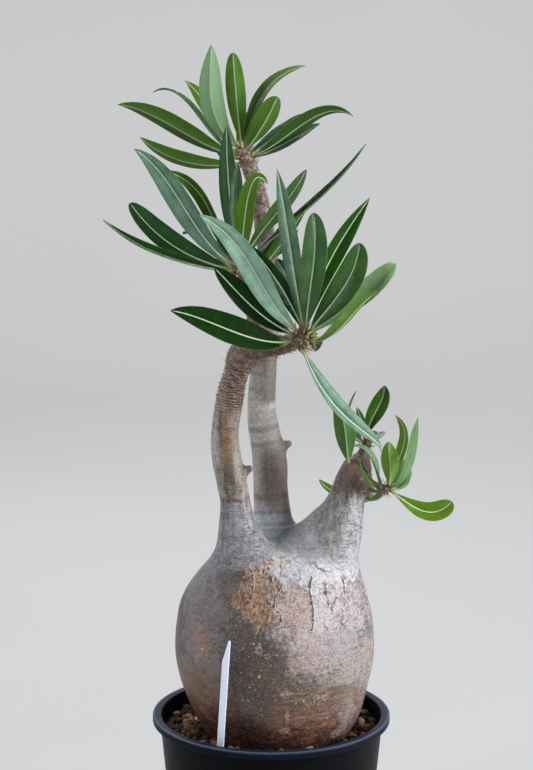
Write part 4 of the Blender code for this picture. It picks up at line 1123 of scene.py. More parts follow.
LEAVES = {
    "front": [
        leaf((-77, -14, 19), (0, -3, -5.5), (0, -2, -2), 19, (0.1, -0.85, 0.5), 0.46, 0.8, drop=3),
        leaf((-53, 6, 41), (-3, 2, -4), (-2, 1, -3), 16, (0.2, -0.8, 0.55), 0.5, 0.65, drop=1),
        leaf((-62, -18, 74), (-1, -6, 1), (4, -5, 3), 15, (-0.35, -0.8, 0.35), 0.5, 0.75, twist=8),
        leaf((-34, 7, 54), (2, 4, 2), (2, 2, 2), 10, (-0.1, -0.75, 0.6), 0.5, 0.7),
        leaf((-17, 24, 44), (2, 6, 4), (1, 4, 3), 13, (-0.1, -0.7, 0.7), 0.55, 0.55),
        leaf((-17, -2, 100), (-0.5, -1, 0), (0, 0, 0), 11.5, (0.15, -1, 0.1), 0.5, 0.95),
        leaf((4, -12, 75), (0.5, -4, 0), (2, -4, 0), 15.5, (0.05, -1, 0.2), 0.62, 0.5),
        leaf((38, 8, 82), (-5, 4, 2), (-4, 3, 2), 12.5, (0.35, -0.9, 0.1), 0.54, 0.95),
        leaf((31, -8, 57), (2, -3, -2), (4, -2, -3), 17, (0.05, -0.95, 0.3), 0.62, 0.5),
        leaf((53, 2, 44), (1, 4, -2), (1, 3, -3), 15, (-0.1, -0.75, 0.65), 0.64, 0.5),
        leaf((42, -22, 31), (1, -4, -7), (0, -3, -3), 14, (-0.5, 0.55, 0.65), 0.55, 0.7, drop=1),
        leaf((9, 30, -12), (3, 3, 3), (2, 1, 4), 11, (0.1, -0.2, 1), 0.5, 0.6, drop=3),
        leaf((50, 20, -72), (3, -3, -15), (7, -2, -11), 13.5, (0.8, -0.5, 0.45), 0.42, 1.1,
             twist=20, fold=24, drop=4),
    ],
    "rear": [
        leaf((-83, -8, 34), (-2, -2, -5), (-3, -2, -6), 13, (0.1, -0.3, 1), 0.42, 1, drop=4),
        leaf((-68, 16, 40), (-4, 3, -7), (-4, 2, -7), 17.5, (0.3, -0.75, 0.6), 0.56, 0.5, drop=2),
        leaf((-63, -6, 72), (-2, -3, -3), (1, -2, 1), 15, (-0.4, -0.75, 0.45), 0.52, 0.85),
        leaf((-48, 8, 58), (3, 3, 3), (7, 3, 6), 10, (-0.65, -0.5, 0.5), 0.5, 1, fold=28),
        leaf((-1, -2, 63), (-1.5, 1, 0), (-1.5, 1, 0), 10, (0.1, -1, 0.15), 0.58, 0.7, fold=32),
        leaf((-8, 14, 85), (-2, 4, 0), (-2, 4, 0), 12, (-0.15, -1, 0.1), 0.52, 0.85),
        leaf((17, -12, 51), (-3.5, -6, 6), (-4.6, -5, 15.5), 11.5, (-0.1, -0.9, 0.2), 0.5, 0.8),
        leaf((40, 7, 59), (0, 1, 2), (1, 1, 0), 10.5, (-0.25, -0.85, 0.4), 0.6, 0.7),
        leaf((75, 2, 75), (1, 4, -2), (3, 2, -3), 11, (-0.6, -0.25, 0.75), 0.5, 1.1),
        leaf((38, -10, 37), (2, -6, -6), (1, -4, -4), 11, (-0.3, -0.5, 0.8), 0.55, 0.7, drop=2),
        leaf((34, 40, 22), (9, 2, 4), (6, 2, 6), 14, (0, -0.3, 1), 0.5, 0.7, drop=3),
        leaf((-38, 44, 20), (-2, 3, 2), (-1, 2, 5), 15, (0.1, -0.1, 1), 0.5, 0.7, drop=4),
    ],
    "top": [
        leaf((-77, -14, 32), (0, -2, -2), (0, -2, 2), 15, (0.15, 0.8, 0.6), 0.5, 0.9, drop=2),
        leaf((-65, -10, 16), (1, -2, -7), (0, -2, -8), 13, (0.1, 0.75, 0.65), 0.52, 0.9, drop=6),
        leaf((-58, 28, 38), (-1, 3, 1), (1, 2, 9), 9, (0, 0.05, 1), 0.5, 1.1, drop=2),
        leaf((-36, 12, 44), (-1, 2, 0), (1, 2, 0), 12, (0.3, -0.9, 0.3), 0.5, 1),
        leaf((-19, -6, 66), (-10, -4, 0), (-7, -4, 0), 15.5, (0.05, 0.95, 0.2), 0.5, 0.85),
        leaf((-6, -4, 61), (-0.5, -2, 0), (-0.5, -2, 0), 12.5, (0, 1, 0.1), 0.58, 0.45),
        leaf((39, 16, 53), (-6, 3, 8), (-7, 2, 8), 10.5, (-0.5, -0.6, 0.6), 0.52, 0.95),
        leaf((21, -14, 35), (1, -3, -1), (1, -3, -1), 15.5, (-0.3, 0.85, 0.4), 0.62, 0.5),
        leaf((67, -10, 24.5), (0, -2, 2), (0, -2, 9), 12.5, (-0.1, 0.7, 0.7), 0.5, 1.2, drop=2),
        leaf((46, -2, 22), (1, 0, -2), (1, 0, -1), 11, (-0.2, -0.6, 0.75), 0.5, 0.9, drop=4),
        leaf((37, 26, 25), (1, 3, -1), (1, 2, 0), 11, (-0.3, -0.4, 0.85), 0.5, 0.8, drop=2),
        leaf((4, 44, 24), (0, 4, -2), (0, 3, 2), 14, (0, -0.6, 0.8), 0.52, 0.7, drop=1),
        leaf((-18, 46, 0), (0, 3, 2), (0, 2, 5), 14, (0, -0.1, 1), 0.5, 0.75, drop=5),
    ],
    "right": [
        leaf((-7, 2, 21), (0, 0, 0), (0, 0, 0), 5, (0.2, 0.9, 0.2), 0.5, 0.8),
        leaf((10, 5, 34), (-1.5, 1, 0), (1, 1, 0), 11.5, (-0.15, -0.95, 0.2), 0.58, 0.65),
        leaf((9, 25, 0), (3, 2, 1), (2, 2, 2), 9, (0, -0.4, 0.9), 0.58, 0.6, drop=1),
        leaf((-12, 23, 3), (-3, 2, 1), (-2, 2, 3), 9, (0, -0.2, 1), 0.58, 0.6, drop=2),
    ],
    "low": [
        leaf((0.5, -5, 31), (2, 2, 0), (1, 1, 0), 11.5, (0, 0.9, 0.3), 0.5, 0.7),
        leaf((5, 7, 45), (5, 7, -1), (8, 5, 0), 8.5, (-0.6, -0.65, 0.35), 0.5, 0.85),
        leaf((18.5, -6, 47), (5, -4, -4), (3.5, -2, -3), 8.5, (-0.65, -0.6, 0.4), 0.5, 0.9),
        leaf((14.5, 3, 18), (4, 3, -6), (4, 3, -6), 10, (-0.5, -0.5, 0.7), 0.55, 0.6, drop=1),
        leaf((40, -8, -6), (-1, -2, -5.5), (-1, -2, -9), 13, (0.1, -0.85, 0.5), 0.74, 0.45, 1.3),
        leaf((-39, 38, -2), (6, 15, -13), (1, 10, -11), 12, (0.1, -0.5, 0.85), 0.5, 0.7, drop=2),
        leaf((-19, -16, 31), (3, -6, 1), (4, -5, 4), 8, (0.45, -0.4, 0.8), 0.5, 0.7, fold=24,
             drop=3),
        leaf((-12.5, -13, 22), (-2, -8, -2), (-2, -6, -1), 6, (0.8, -0.3, 0.5), 0.5, 0.8, fold=30,
             drop=5),
        leaf((12, 34, 12), (2, 3, 1), (1, 2, 3), 11, (0, -0.3, 1), 0.58, 0.6, drop=1),
    ],
    "shoulder": [
        leaf((-9, -6, 43), (1, -2, 0), (2, -2, 0), 13.5, (0, 0.95, 0.2), 0.52, 0.65),
        leaf((5, 14, 44), (-4, 5, 0), (-4, 5, 1), 5.5, (1, -0.25, 0.1), 0.5, 0.8),
    ],
}
print({name: len(shapes) for name, shapes in LEAVES.items()}, "leaves")


# %% The midrib of a leaf as four points
MIDRIB_SAMPLES = 241
ROOTED = 0.4


def midrib(head, shape):
    """The start, the two handles and the end of the midrib, from just inside the wood."""
    tip, axis = (np.array(row, float) for row in head)
    root = tip - axis / np.linalg.norm(axis) * shape["drop"]
    reach, low, high = (np.array(shape[key], float) for key in ("tip", "low", "high"))
    corners = [root, root + reach / 3 + 3 * low - 1.5 * high,
               root + 2 * reach / 3 + 3 * high - 1.5 * low, root + reach]
    t = np.linspace(0, 0.5, MIDRIB_SAMPLES)[:, None]
    line = ((1 - t) ** 3 * corners[0] + 3 * t * (1 - t) ** 2 * corners[1]
            + 3 * t * t * (1 - t) * corners[2] + t ** 3 * corners[3])
    inside = np.nonzero(plant_distance(line) < -ROOTED)[0]
    return cut_bezier(corners, t[inside.max(), 0] if len(inside) else 0.0)


def cut_bezier(corners, t):
    """The four points of the part of the curve that lies beyond t."""
    kept = [corners[3]]
    while len(corners) > 1:
        corners = [a + (b - a) * t for a, b in zip(corners, corners[1:])]
        kept.append(corners[-1])
    return kept[::-1]


MIDRIBS = {f"{name}_leaf_{number:02d}": (midrib(HEADS[name], shape), shape)
           for name, shapes in LEAVES.items() for number, shape in enumerate(shapes, 1)}
print(len(MIDRIBS), "midribs")

# %% [markdown]
# The recipe works on a unit cylinder. Its x runs across the blade, its sign of y says upper or
# lower side, and its z is the share of the way from stalk to point. Before the points are moved,
# these numbers are stored on them, because the finish needs the same ones: the pale rib is where
# the distance across is small, and the side veins run out from it.

# %% The leaf recipe: outline and cross-section
blade = Recipe("leaf blade", {
    "Root": (0.0, 0.0, 0.0), "First": (0.0, 0.0, 0.0), "Second": (0.0, 0.0, 0.0),
    "Tip": (0.0, 0.0, 0.0), "Face": (0.0, 0.0, 1.0), "Width": 12.0, "Belly": 0.55, "Point": 0.7,
    "Rise": 0.95, "Fold": 0.28, "Twist": 0.0, "Wave": 0.5, "Tone": 0.2, "Pale": 0.0, "Seed": 1.0})
AROUND = 44
ALONG = 60
MIDRIB_STEPS = 64
BUNCHED = 0.6
STALK_W = 2.1
POINT_W = 0.4
END_FALL = 2.2

midline = blade.node("GeometryNodeCurvePrimitiveBezierSegment", {"mode": "POSITION"}, {
    "Resolution": MIDRIB_STEPS, "Start": blade.given("Root"),
    "Start Handle": blade.given("First"), "End Handle": blade.given("Second"),
    "End": blade.given("Tip")})
tube = blade.node("GeometryNodeMeshCylinder", {"fill_type": "NGON"}, {
    "Vertices": AROUND, "Side Segments": ALONG, "Radius": 1.0, "Depth": 1.0})
spot = blade.parts(blade.node("GeometryNodeInputPosition"))
across, upper, t = spot["X"], spot["Y"], spot["Z"] + 0.5
share = t - blade.maths("SINE", t * (2 * math.pi)) * (BUNCHED / (2 * math.pi))
start_part = blade.maths("MINIMUM", share / blade.given("Belly"), 1)
end_part = blade.maths("MAXIMUM", (share - blade.given("Belly")) / (1 - blade.given("Belly")), 0)
form = (blade.maths("SINE", start_part * (math.pi / 2)) ** blade.given("Rise")
        * blade.maths("MAXIMUM", 1 - end_part ** END_FALL, 0) ** blade.given("Point"))
least = STALK_W + share * (POINT_W - STALK_W)
half = blade.maths("MAXIMUM", blade.given("Width") * form, least) / 2
print("the outline is ready")

# %% The leaf recipe: fold, keel, groove and waves
SHEET = 0.62
KEEL = 1.1
KEEL_REACH = 0.9
GROOVE = 0.3
GROOVE_REACH = 0.6
ARCH = 0.65
EDGE_ROUND = 0.35
away = blade.maths("ABSOLUTE", across)
lift = half * blade.maths("SINE", blade.given("Fold"))
edge = half * blade.maths("COSINE", blade.given("Fold"))
arch = lift * away * (1 + ARCH - ARCH * away)
keel = (KEEL - SHEET) * (1 - 0.4 * share)
thick = SHEET + keel * blade.bell(across * half, KEEL_REACH)
side = blade.maths("SIGN", upper)
rounding = side * blade.maths("ABSOLUTE", upper) ** EDGE_ROUND
groove = blade.bell(across * half, GROOVE_REACH) * blade.maths("MAXIMUM", side, 0) * GROOVE
ripple = blade.node("ShaderNodeTexNoise", None, {
    "Vector": blade.joined(share * 5, across * 1.3, blade.given("Seed") * 7.3),
    "Scale": 1.0, "Detail": 1.0}) - 0.5
waves = ripple * away * away * form * blade.given("Wave") * 2
rise = arch - thick * (0.5 - 0.5 * rounding) - groove + waves
print("the cross-section is ready")

# %% The leaf recipe: bent along the midrib
TIP_SHARE = 0.992
here = blade.node("GeometryNodeSampleCurve", {"mode": "FACTOR"},
                  {"Curves": midline, "Factor": share * TIP_SHARE})
along = here["Tangent"]
face = blade.given("Face")
up = blade.vector("NORMALIZE", face - along * blade.vector("DOT_PRODUCT", face, along))
flat = blade.vector("CROSS_PRODUCT", up, along)
turn = blade.given("Twist") * share
cosine, sine = blade.maths("COSINE", turn), blade.maths("SINE", turn)
up, flat = up * cosine - flat * sine, flat * cosine + up * sine
target = (here["Position"] + flat * (across * edge) + up * rise) * MM
length = blade.node("GeometryNodeCurveLength", None, {0: midline})
numbered = tube
for label, value in (("across", across), ("share", share), ("half", half), ("upper", upper),
                     ("reach", share * length), ("tone", blade.given("Tone")),
                     ("pale", blade.given("Pale"))):
    numbered = blade.store(numbered, label, value)
blade.end(blade.node("GeometryNodeSetPosition", None, {"Geometry": numbered, "Position": target}))
print("the leaf recipe has", len(blade.group.nodes), "nodes")

# %% [markdown]
# ## The leaves' finish
#
# Old leaves are a deep, glossy green, and young ones are yellower and duller. The upper side has a
# white midrib, faint side veins and a thin pale margin. The lower side is paler and matt. Both
# sides live in one finish, which reads from the stored numbers which side it is on.

# %% Leaf green
VEIN_APART = 1.5
leaf_green = Finish("leaf_green", Specular_IOR_Level=0.14)
across, share, half, upper, reach, tone, pale = map(
    leaf_green.number, ("across", "share", "half", "upper", "reach", "tone", "pale"))
away = leaf_green.maths("ABSOLUTE", across)
off_rib = away * half
blotch = leaf_green.noise(9, 3)
mature = leaf_green.ramp(tone + (blotch - 0.5) * 0.25, (0.0, (0.002, 0.018, 0.001)),
                         (0.3, (0.006, 0.045, 0.001)), (0.65, (0.042, 0.115, 0.003)),
                         (1.0, (0.13, 0.25, 0.012)))
slant = reach - off_rib * 0.45 + leaf_green.noise(2.3, 3) * 2.9
vein_wave = leaf_green.maths("SINE", slant * (2 * math.pi / VEIN_APART))
# painted sheen: pale patches, a band along each half of the blade and the ripple of the side veins
# paint the lights' glossy reflection into the colour, on both sides of the leaf
painted_sheen_pattern = (leaf_green.step(blotch, 0.3, 0.7) * 0.4 + leaf_green.bell(away - 0.5, 0.28) * 0.3 + 0.5
         + vein_wave * 0.11)
painted_sheen = leaf_green.maths("MINIMUM", pale * painted_sheen_pattern, 1.0)
painted_sheen_tint = leaf_green.mix(
    leaf_green.step(tone, 0.34, 0.5), (0.235, 0.385, 0.3), (0.34, 0.58, 0.25))
top_side = leaf_green.mix(painted_sheen, mature, painted_sheen_tint)
under_side = leaf_green.layered(mature, (painted_sheen, (0.2, 0.34, 0.2)), (0.14, (0.14, 0.22, 0.06)))
is_top = leaf_green.step(upper, -0.12, 0.12)
green = leaf_green.mix(is_top, under_side, top_side)
print("the two sides of a leaf are green")

# %% Leaf green: veins, rib, margin and stalk
side_veins = leaf_green.step(vein_wave, 0.5, 1.0) * (1 - leaf_green.step(away, 0.8, 0.97))
margin = leaf_green.step(away, 0.94, 0.985)
rib_half = 0.5 - 0.22 * share
rib = ((1 - leaf_green.step(off_rib, rib_half * 0.7, rib_half * 1.35))
       * (1 - leaf_green.step(share, 0.95, 1.0)))
stalk = 1 - leaf_green.step(share, 0.03, 0.13)
foot = 1 - leaf_green.step(share, 0.0, 0.03)
green = leaf_green.layered(
    green, (side_veins * 0.07, (0.16, 0.28, 0.1)), (margin * 0.35, (0.16, 0.26, 0.08)),
    (rib * (0.55 + is_top * 0.4), (0.52, 0.63, 0.43)), (stalk * 0.8, (0.3, 0.37, 0.14)),
    (foot * 0.6, (0.2, 0.13, 0.06)))
fine = leaf_green.noise(0.8, 3)
swell = side_veins * -0.12 + leaf_green.noise(6, 2) * 0.6 + fine * 0.03
shine = 0.5 - is_top * 0.27 + tone * 0.08 + (fine - 0.5) * 0.12
leaf_green.wear(Base_Color=green, Roughness=shine, Normal=leaf_green.bump(swell, 1.0))
print("leaf green has", len(leaf_green.group.nodes), "nodes")

# %% [markdown]
# Every leaf now gets its own tone: how far it is from deep green towards yellow-green, and how much
# painted sheen lies on it, a glossy reflection of the lights painted into its colour. Most follow
# their head, and a few that stand out on the plant have their own.

# %% Make every leaf
HEAD_TONE = {"front": (0.3, 0), "rear": (0.22, 0), "top": (0.58, 0), "right": (0.5, 0),
             "low": (0.75, 0), "shoulder": (0.62, 0.12)}
OWN_TONE = {
    "front_leaf_01": (0.08, 0), "front_leaf_02": (0.0, 0), "front_leaf_03": (0.3, 0.85),
    "front_leaf_04": (0.08, 0), "front_leaf_05": (0.25, 0.4), "front_leaf_06": (0.32, 0.3),
    "front_leaf_07": (0.38, 0.1), "front_leaf_08": (0.32, 0), "front_leaf_09": (0.4, 0.06),
    # front_leaf_10 has a yellower tone and a strong painted sheen, painted light that lifts it
    # where the other leaves shade it
    "front_leaf_10": (0.75, 1.3), "front_leaf_11": (0.72, 0.1), "front_leaf_13": (0.32, 0.55),
    "rear_leaf_02": (0.29, 0.06), "rear_leaf_03": (0.3, 0.42), "rear_leaf_04": (0.68, 0),
    "rear_leaf_05": (0.25, 0.15), "rear_leaf_06": (0.2, 0.12), "rear_leaf_07": (0.7, 0),
    "rear_leaf_08": (0.5, 0.15), "rear_leaf_10": (0.6, 0), "top_leaf_01": (0.47, 0),
    "top_leaf_03": (0.4, 0.2), "top_leaf_04": (0.9, 0), "top_leaf_05": (0.92, 0.95),
    "top_leaf_06": (0.68, 0), "top_leaf_07": (0.72, 0.1), "top_leaf_08": (0.56, 0),
    "top_leaf_09": (0.3, 0), "top_leaf_10": (0.36, 0.15), "top_leaf_11": (0.4, 0.35),
    "low_leaf_01": (1.0, 0.1), "low_leaf_02": (1.0, 0.05), "low_leaf_03": (0.7, 1.3),
    "low_leaf_04": (0.6, 1.6), "low_leaf_05": (0.84, 0), "low_leaf_07": (0.4, 0.35),
}
EMPTY = bpy.data.meshes.new("empty")


def make_leaf(number, name, corners, shape):
    tone, pale = OWN_TONE.get(name, HEAD_TONE[name.split("_")[0]])
    made = blade.make(
        f"{name}_blade", EMPTY, leaf_green, Root=corners[0], First=corners[1], Second=corners[2],
        Tip=corners[3], Face=tuple(map(float, shape["face"])), Width=float(shape["width"]),
        Belly=float(shape["belly"]), Point=float(shape["point"]), Rise=float(shape["rise"]),
        Fold=math.radians(shape["fold"]), Twist=math.radians(shape["twist"]),
        Tone=float(tone), Pale=float(pale), Seed=float(number))
    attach(made, "root")
    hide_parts(name)
    return made


blades = [make_leaf(number, name, corners, shape)
          for number, (name, (corners, shape)) in enumerate(MIDRIBS.items())]
print(len(blades), "leaves with", len(blades[0].data.polygons), "faces each")

# %% [markdown]
# ## The pot
#
# A thin-walled nursery pot is blown or moulded in one: a tapering wall, a turned-out rim, a raised
# floor with drain holes. It is a turned profile with every corner rounded, because plastic has no
# knife edges, and eight holes cut through the floor.

# %% Pot shape
POT_HEIGHT = 128.0
POT_RIM_R = 75.0
POT_MOUTH_R = 69.5
POT_NECK_R = 70.5
POT_BASE_R = 58.5
POT_WALL = 1.6
POT_RIM_THICK = 2.0
POT_LIP_DROP = 4.5
POT_FLOOR = 2.4
POT_FOOT_INNER_R = 49.0
POT_PAD_R = 15.0
POT_RECESS = 1.6
POT_SIDES = 160
DRAIN_HOLES = 8
DRAIN_HOLE_R = 4.5
DRAIN_RING_R = 33.0
POT_CORNER = 1.1
DRAIN_CUT = (-2, 8)


def pot_inner_radius(height):
    share = height / (POT_HEIGHT - POT_LIP_DROP)
    return POT_BASE_R + (POT_NECK_R - POT_BASE_R) * share - POT_WALL


def rounded(profile, radius):
    """The profile with a small arc at each of its corners."""
    found = [np.array(profile[0], float)]
    for a, b, c in zip(profile, profile[1:], profile[2:]):
        a, b, c = (np.array(row, float) for row in (a, b, c))
        before = b + (a - b) * min(radius / np.linalg.norm(a - b), 0.45)
        after = b + (c - b) * min(radius / np.linalg.norm(c - b), 0.45)
        found += [before * (1 - t) ** 2 + 2 * b * t * (1 - t) + after * t * t
                  for t in np.linspace(0, 1, 5)]
    return [*found, np.array(profile[-1], float)]


def make_pot(finish):
    under, floor = POT_HEIGHT - POT_RIM_THICK, POT_RECESS + POT_FLOOR
    profile = (
        (0, 0), (0, POT_PAD_R), (POT_RECESS, POT_PAD_R + 2), (POT_RECESS, POT_FOOT_INNER_R - 2),
        (0, POT_FOOT_INNER_R), (0, POT_BASE_R), (under - 1, POT_NECK_R), (under, POT_NECK_R + 1),
        (under, POT_RIM_R - 1.6), (POT_HEIGHT - POT_LIP_DROP, POT_RIM_R - 1.4),
        (POT_HEIGHT - POT_LIP_DROP, POT_RIM_R), (POT_HEIGHT, POT_RIM_R), (POT_HEIGHT, POT_MOUTH_R),
        (POT_HEIGHT - 2, POT_MOUTH_R - 0.4), (floor, pot_inner_radius(floor)), (floor, 0),
    )
    rows = [(height, radius, 0) for height, radius in rounded(profile, POT_CORNER)]
    pot = new_object("nursery_pot", *turned(rows, POT_SIDES), finish)
    low, high = DRAIN_CUT
    drill = ((low, 0, 0), (low, DRAIN_HOLE_R, 0), (high, DRAIN_HOLE_R, 0), (high, 0, 0))
    for number in range(DRAIN_HOLES):
        angle = 2 * math.pi * (number + 0.5) / DRAIN_HOLES
        points, faces = turned(drill, 32)
        points = [(x + DRAIN_RING_R * math.cos(angle), y + DRAIN_RING_R * math.sin(angle), z)
                  for x, y, z in points]
        cutter = new_object(f"drain_cutter_{number}", points, faces)
        cut = pot.modifiers.new("drain", "BOOLEAN")
        cut.object = cutter
        applied(pot)
        bpy.data.objects.remove(cutter)
    pot.data.shade_smooth()
    pot.data.set_sharp_from_angle(angle=math.radians(40))
    return pot


# %% Pot finish
pot_plastic = Finish("pot_plastic", Specular_IOR_Level=0.07)
scuff = pot_plastic.noise(1.6, 3, stretch=(10, 10, 1))
cloud = pot_plastic.noise(22, 3)
depth = pot_plastic.parts(pot_plastic.place)["Z"]
speck_cells = pot_plastic.cells(2.4)
specks = ((1 - pot_plastic.step(speck_cells, 0.05, 0.13))
          * pot_plastic.step(pot_plastic.chance(speck_cells), 0.86, 0.9)
          * pot_plastic.step(depth, 95, 128))
# painted sheen: the top of the rim is a little lighter navy, and a thin bright line round its outer
# edge is a painted highlight
lip = pot_plastic.step(depth, 126.4, 127.6)
rim_highlight_line = pot_plastic.bell(pot_plastic.vector("LENGTH", pot_plastic.place * (1, 1, 0)) - 74.2, 0.6)
black = pot_plastic.layered(
    (0.0008, 0.001, 0.0016), (cloud, (0.002, 0.0026, 0.004)),
    (pot_plastic.step(scuff, 0.6, 0.8) * 0.3, (0.009, 0.011, 0.016)),
    (pot_plastic.step(depth, 122, 124) * 0.7, (0.005, 0.007, 0.013)),
    (lip * 0.85, (0.014, 0.019, 0.033)), (lip * rim_highlight_line, (0.075, 0.1, 0.16)),
    (specks * 0.8, (0.2, 0.14, 0.09)))
pot_plastic.wear(Base_Color=black, Roughness=0.34 + cloud * 0.14 + scuff * 0.1,
                 Normal=pot_plastic.bump(scuff, 0.04))
nursery_pot = make_pot(pot_plastic)
print("the pot has", len(nursery_pot.data.polygons), "faces")

# %% [markdown]
# ## Soil
#
# The mix is baked clay, pumice and lava, sieved to 3 to 6 mm. Underneath lies one turned body with
# a socket for the root, and on its top a recipe strews grains: it scatters points that keep their
# distance, puts one of five lumpy shapes on each, and turns, sizes and tints them at random.

# %% Soil body
SOIL_TOP = 118.0
SOIL_SIDES = 96
SOIL_GAP = 0.4
ROOT_GAP = 0.6


def belly_radius(height):
    return float(np.interp(height, BELLY_LINE[:, 1], BELLY_LINE[:, 0]))


def make_soil(finish):
    floor = POT_RECESS + POT_FLOOR + SOIL_GAP
    outer, inner = pot_inner_radius(SOIL_TOP) - SOIL_GAP, belly_radius(SOIL_TOP) + ROOT_GAP
    rows = [(floor, 0, 0), (floor, pot_inner_radius(floor) - SOIL_GAP, 0)]
    rows += [(SOIL_TOP, outer + (inner - outer) * t, BELLY_AXIS_LOW * t)
             for t in np.linspace(0, 1, 9)]
    rows += [(height - 0.3 * ROOT_GAP, radius + ROOT_GAP, BELLY_AXIS_LOW)
             for radius, height in BELLY_LINE[::-1] if height < SOIL_TOP - 1 and radius > 0]
    rows.append((BELLY_LINE[0, 1] - ROOT_GAP, 0, BELLY_AXIS_LOW))
    return new_object("soil_body", *turned(rows, SOIL_SIDES), finish)


# the dark soil under the grains, darkened further as painted shade in the gaps between them
soil_earth = lumpy_finish("soil_earth", 0.2, (3.0, 4), (
    (0.3, (0.008, 0.004, 0.002)), (0.55, (0.03, 0.017, 0.009)), (0.75, (0.08, 0.05, 0.03))),
    (0.8, 0.15), 1.2)
soil_body = make_soil(soil_earth)
print("the soil body has", len(soil_body.data.polygons), "faces")

# %% Grain recipe
GRAIN_SHAPES = 5
GRAIN_DENSITY = 900000.0
grains = Recipe("soil grains", {"Spacing": 3.5, "Smallest": 1.7, "Largest": 3.7, "Seed": 5})
shapes = []
for number in range(GRAIN_SHAPES):
    lump = grains.node("GeometryNodeMeshIcoSphere", None, {"Radius": 1.0, "Subdivisions": 2})
    spot = grains.node("GeometryNodeInputPosition")
    push = grains.node("ShaderNodeTexNoise", {"noise_dimensions": "4D"}, {
        "Vector": spot, "W": number * 3.7, "Scale": 0.9, "Detail": 1.0}) - 0.42
    lump = grains.node("GeometryNodeSetPosition", None,
                       {"Geometry": lump, "Offset": spot * (push * 1.7)})
    flat_sides = (1.0, 0.72 + 0.05 * number, 0.62 + 0.06 * (number % 3))
    shapes.append(grains.node("GeometryNodeGeometryToInstance", None,
                              {0: moved(grains, lump, Scale=flat_sides)}))
strewn = grains.node("GeometryNodeDistributePointsOnFaces", {"distribute_method": "POISSON"}, {
    "Mesh": grains.given("Source"), "Distance Min": grains.given("Spacing") * MM,
    "Density Max": GRAIN_DENSITY, "Seed": grains.given("Seed")})
angles = grains.joined(*(grains.random(0.0, 2 * math.pi, 11 + i) for i in range(3)))
pick = grains.maths("FLOOR", grains.random(0.0, GRAIN_SHAPES - 0.001, 21))
sown = grains.node("GeometryNodeInstanceOnPoints", None, {
    "Points": strewn, "Instance": grains.node("GeometryNodeJoinGeometry", None, {0: shapes}),
    "Pick Instance": True, "Instance Index": pick,
    "Rotation": grains.node("FunctionNodeEulerToRotation", None, {0: angles}),
    "Scale": grains.random(grains.given("Smallest"), grains.given("Largest"), 31) * MM})
grains.end(grains.store(sown, "tone", grains.random(0.0, 1.0, 41), "INSTANCE"))
print("the grain recipe has", len(grains.group.nodes), "nodes")


# %% Strew the grains and give them their finish
def grain_ground():
    """The ring between belly and wall, a little wavy, on which the grains are strewn."""
    inner, outer = belly_radius(SOIL_TOP) + 1.2, pot_inner_radius(SOIL_TOP) - 3.6
    rows = [(SOIL_TOP + 0.3 * math.sin(6 * t), outer + (inner - outer) * t, BELLY_AXIS_LOW * t)
            for t in np.linspace(0, 1, 9)]
    points, faces = turned(rows, SOIL_SIDES)
    points = [(x, y, z + 0.9 * noise.noise(Vector((x, y, 0)) / 9)) for x, y, z in points]
    mesh = bpy.data.meshes.new("ground")
    mesh.from_pydata((np.array(points) * MM).tolist(), [], faces)
    return mesh


soil_grit = Finish("soil_grit", Specular_IOR_Level=0.25)
tone, crumb = soil_grit.number("tone"), soil_grit.noise(0.9, 3)
# the grains' own tones, from dark lava and brown clay to cream pumice, kept dark overall as painted
# shade of the pot's wall and the belly
grain_tones_and_shade = soil_grit.ramp(
    tone, (0.0, (0.01, 0.004, 0.002)), (0.45, (0.04, 0.016, 0.005)), (0.68, (0.12, 0.05, 0.016)),
    (0.86, (0.28, 0.14, 0.055)), (0.95, (0.5, 0.38, 0.26)), (0.98, (0.14, 0.12, 0.105)))
pitted = soil_grit.ramp(crumb, (0.3, (0.4, 0.38, 0.36)), (0.7, (1, 1, 1)))
at = soil_grit.parts(soil_grit.place)
# painted light: grains on the right side of the pot, towards the right light, are lighter and
# warmer
painted_light_right = soil_grit.step(at["X"], 15, 55) * soil_grit.step(tone, 0.3, 0.6)
# painted shade: grains that lie lower in the pile are darker, as shade in the gaps between them
painted_gap_shade = soil_grit.step(at["Z"], 120.3, 117.0)
grit = soil_grit.layered(soil_grit.mix(0.6, grain_tones_and_shade, pitted, "MULTIPLY"),
                         (painted_light_right * 0.45, (0.34, 0.19, 0.085)), (painted_gap_shade * 0.8, (0.008, 0.004, 0.002)))
soil_grit.wear(Base_Color=grit, Roughness=0.75 + crumb * 0.2, Normal=soil_grit.bump(crumb, 0.35))
soil_grains = grains.make("soil_grains", grain_ground(), soil_grit)
print("the grains have", len(soil_grains.data.polygons), "faces")

# %% [markdown]
# ## The plant label
#
# A strip of white plastic, cut to a slanting point, pushed into the soil and leaning out over the
# belly. It is an extruded outline, and a small bevel takes the sharpness off its edges. It is bare.

# %% Label
LABEL_TIP = (-26.5, -65.0, 195.0)
LABEL_SOIL_POINT = (-31.5, -56.5, SOIL_TOP)
LABEL_LENGTH = 110.0
LABEL_WIDTH = 4.4
LABEL_THICK = 0.8
LABEL_POINT = 14.0
LABEL_BLUNT = 1.2
LABEL_BEVEL = 0.18
LABEL_TURN = math.radians(-20)


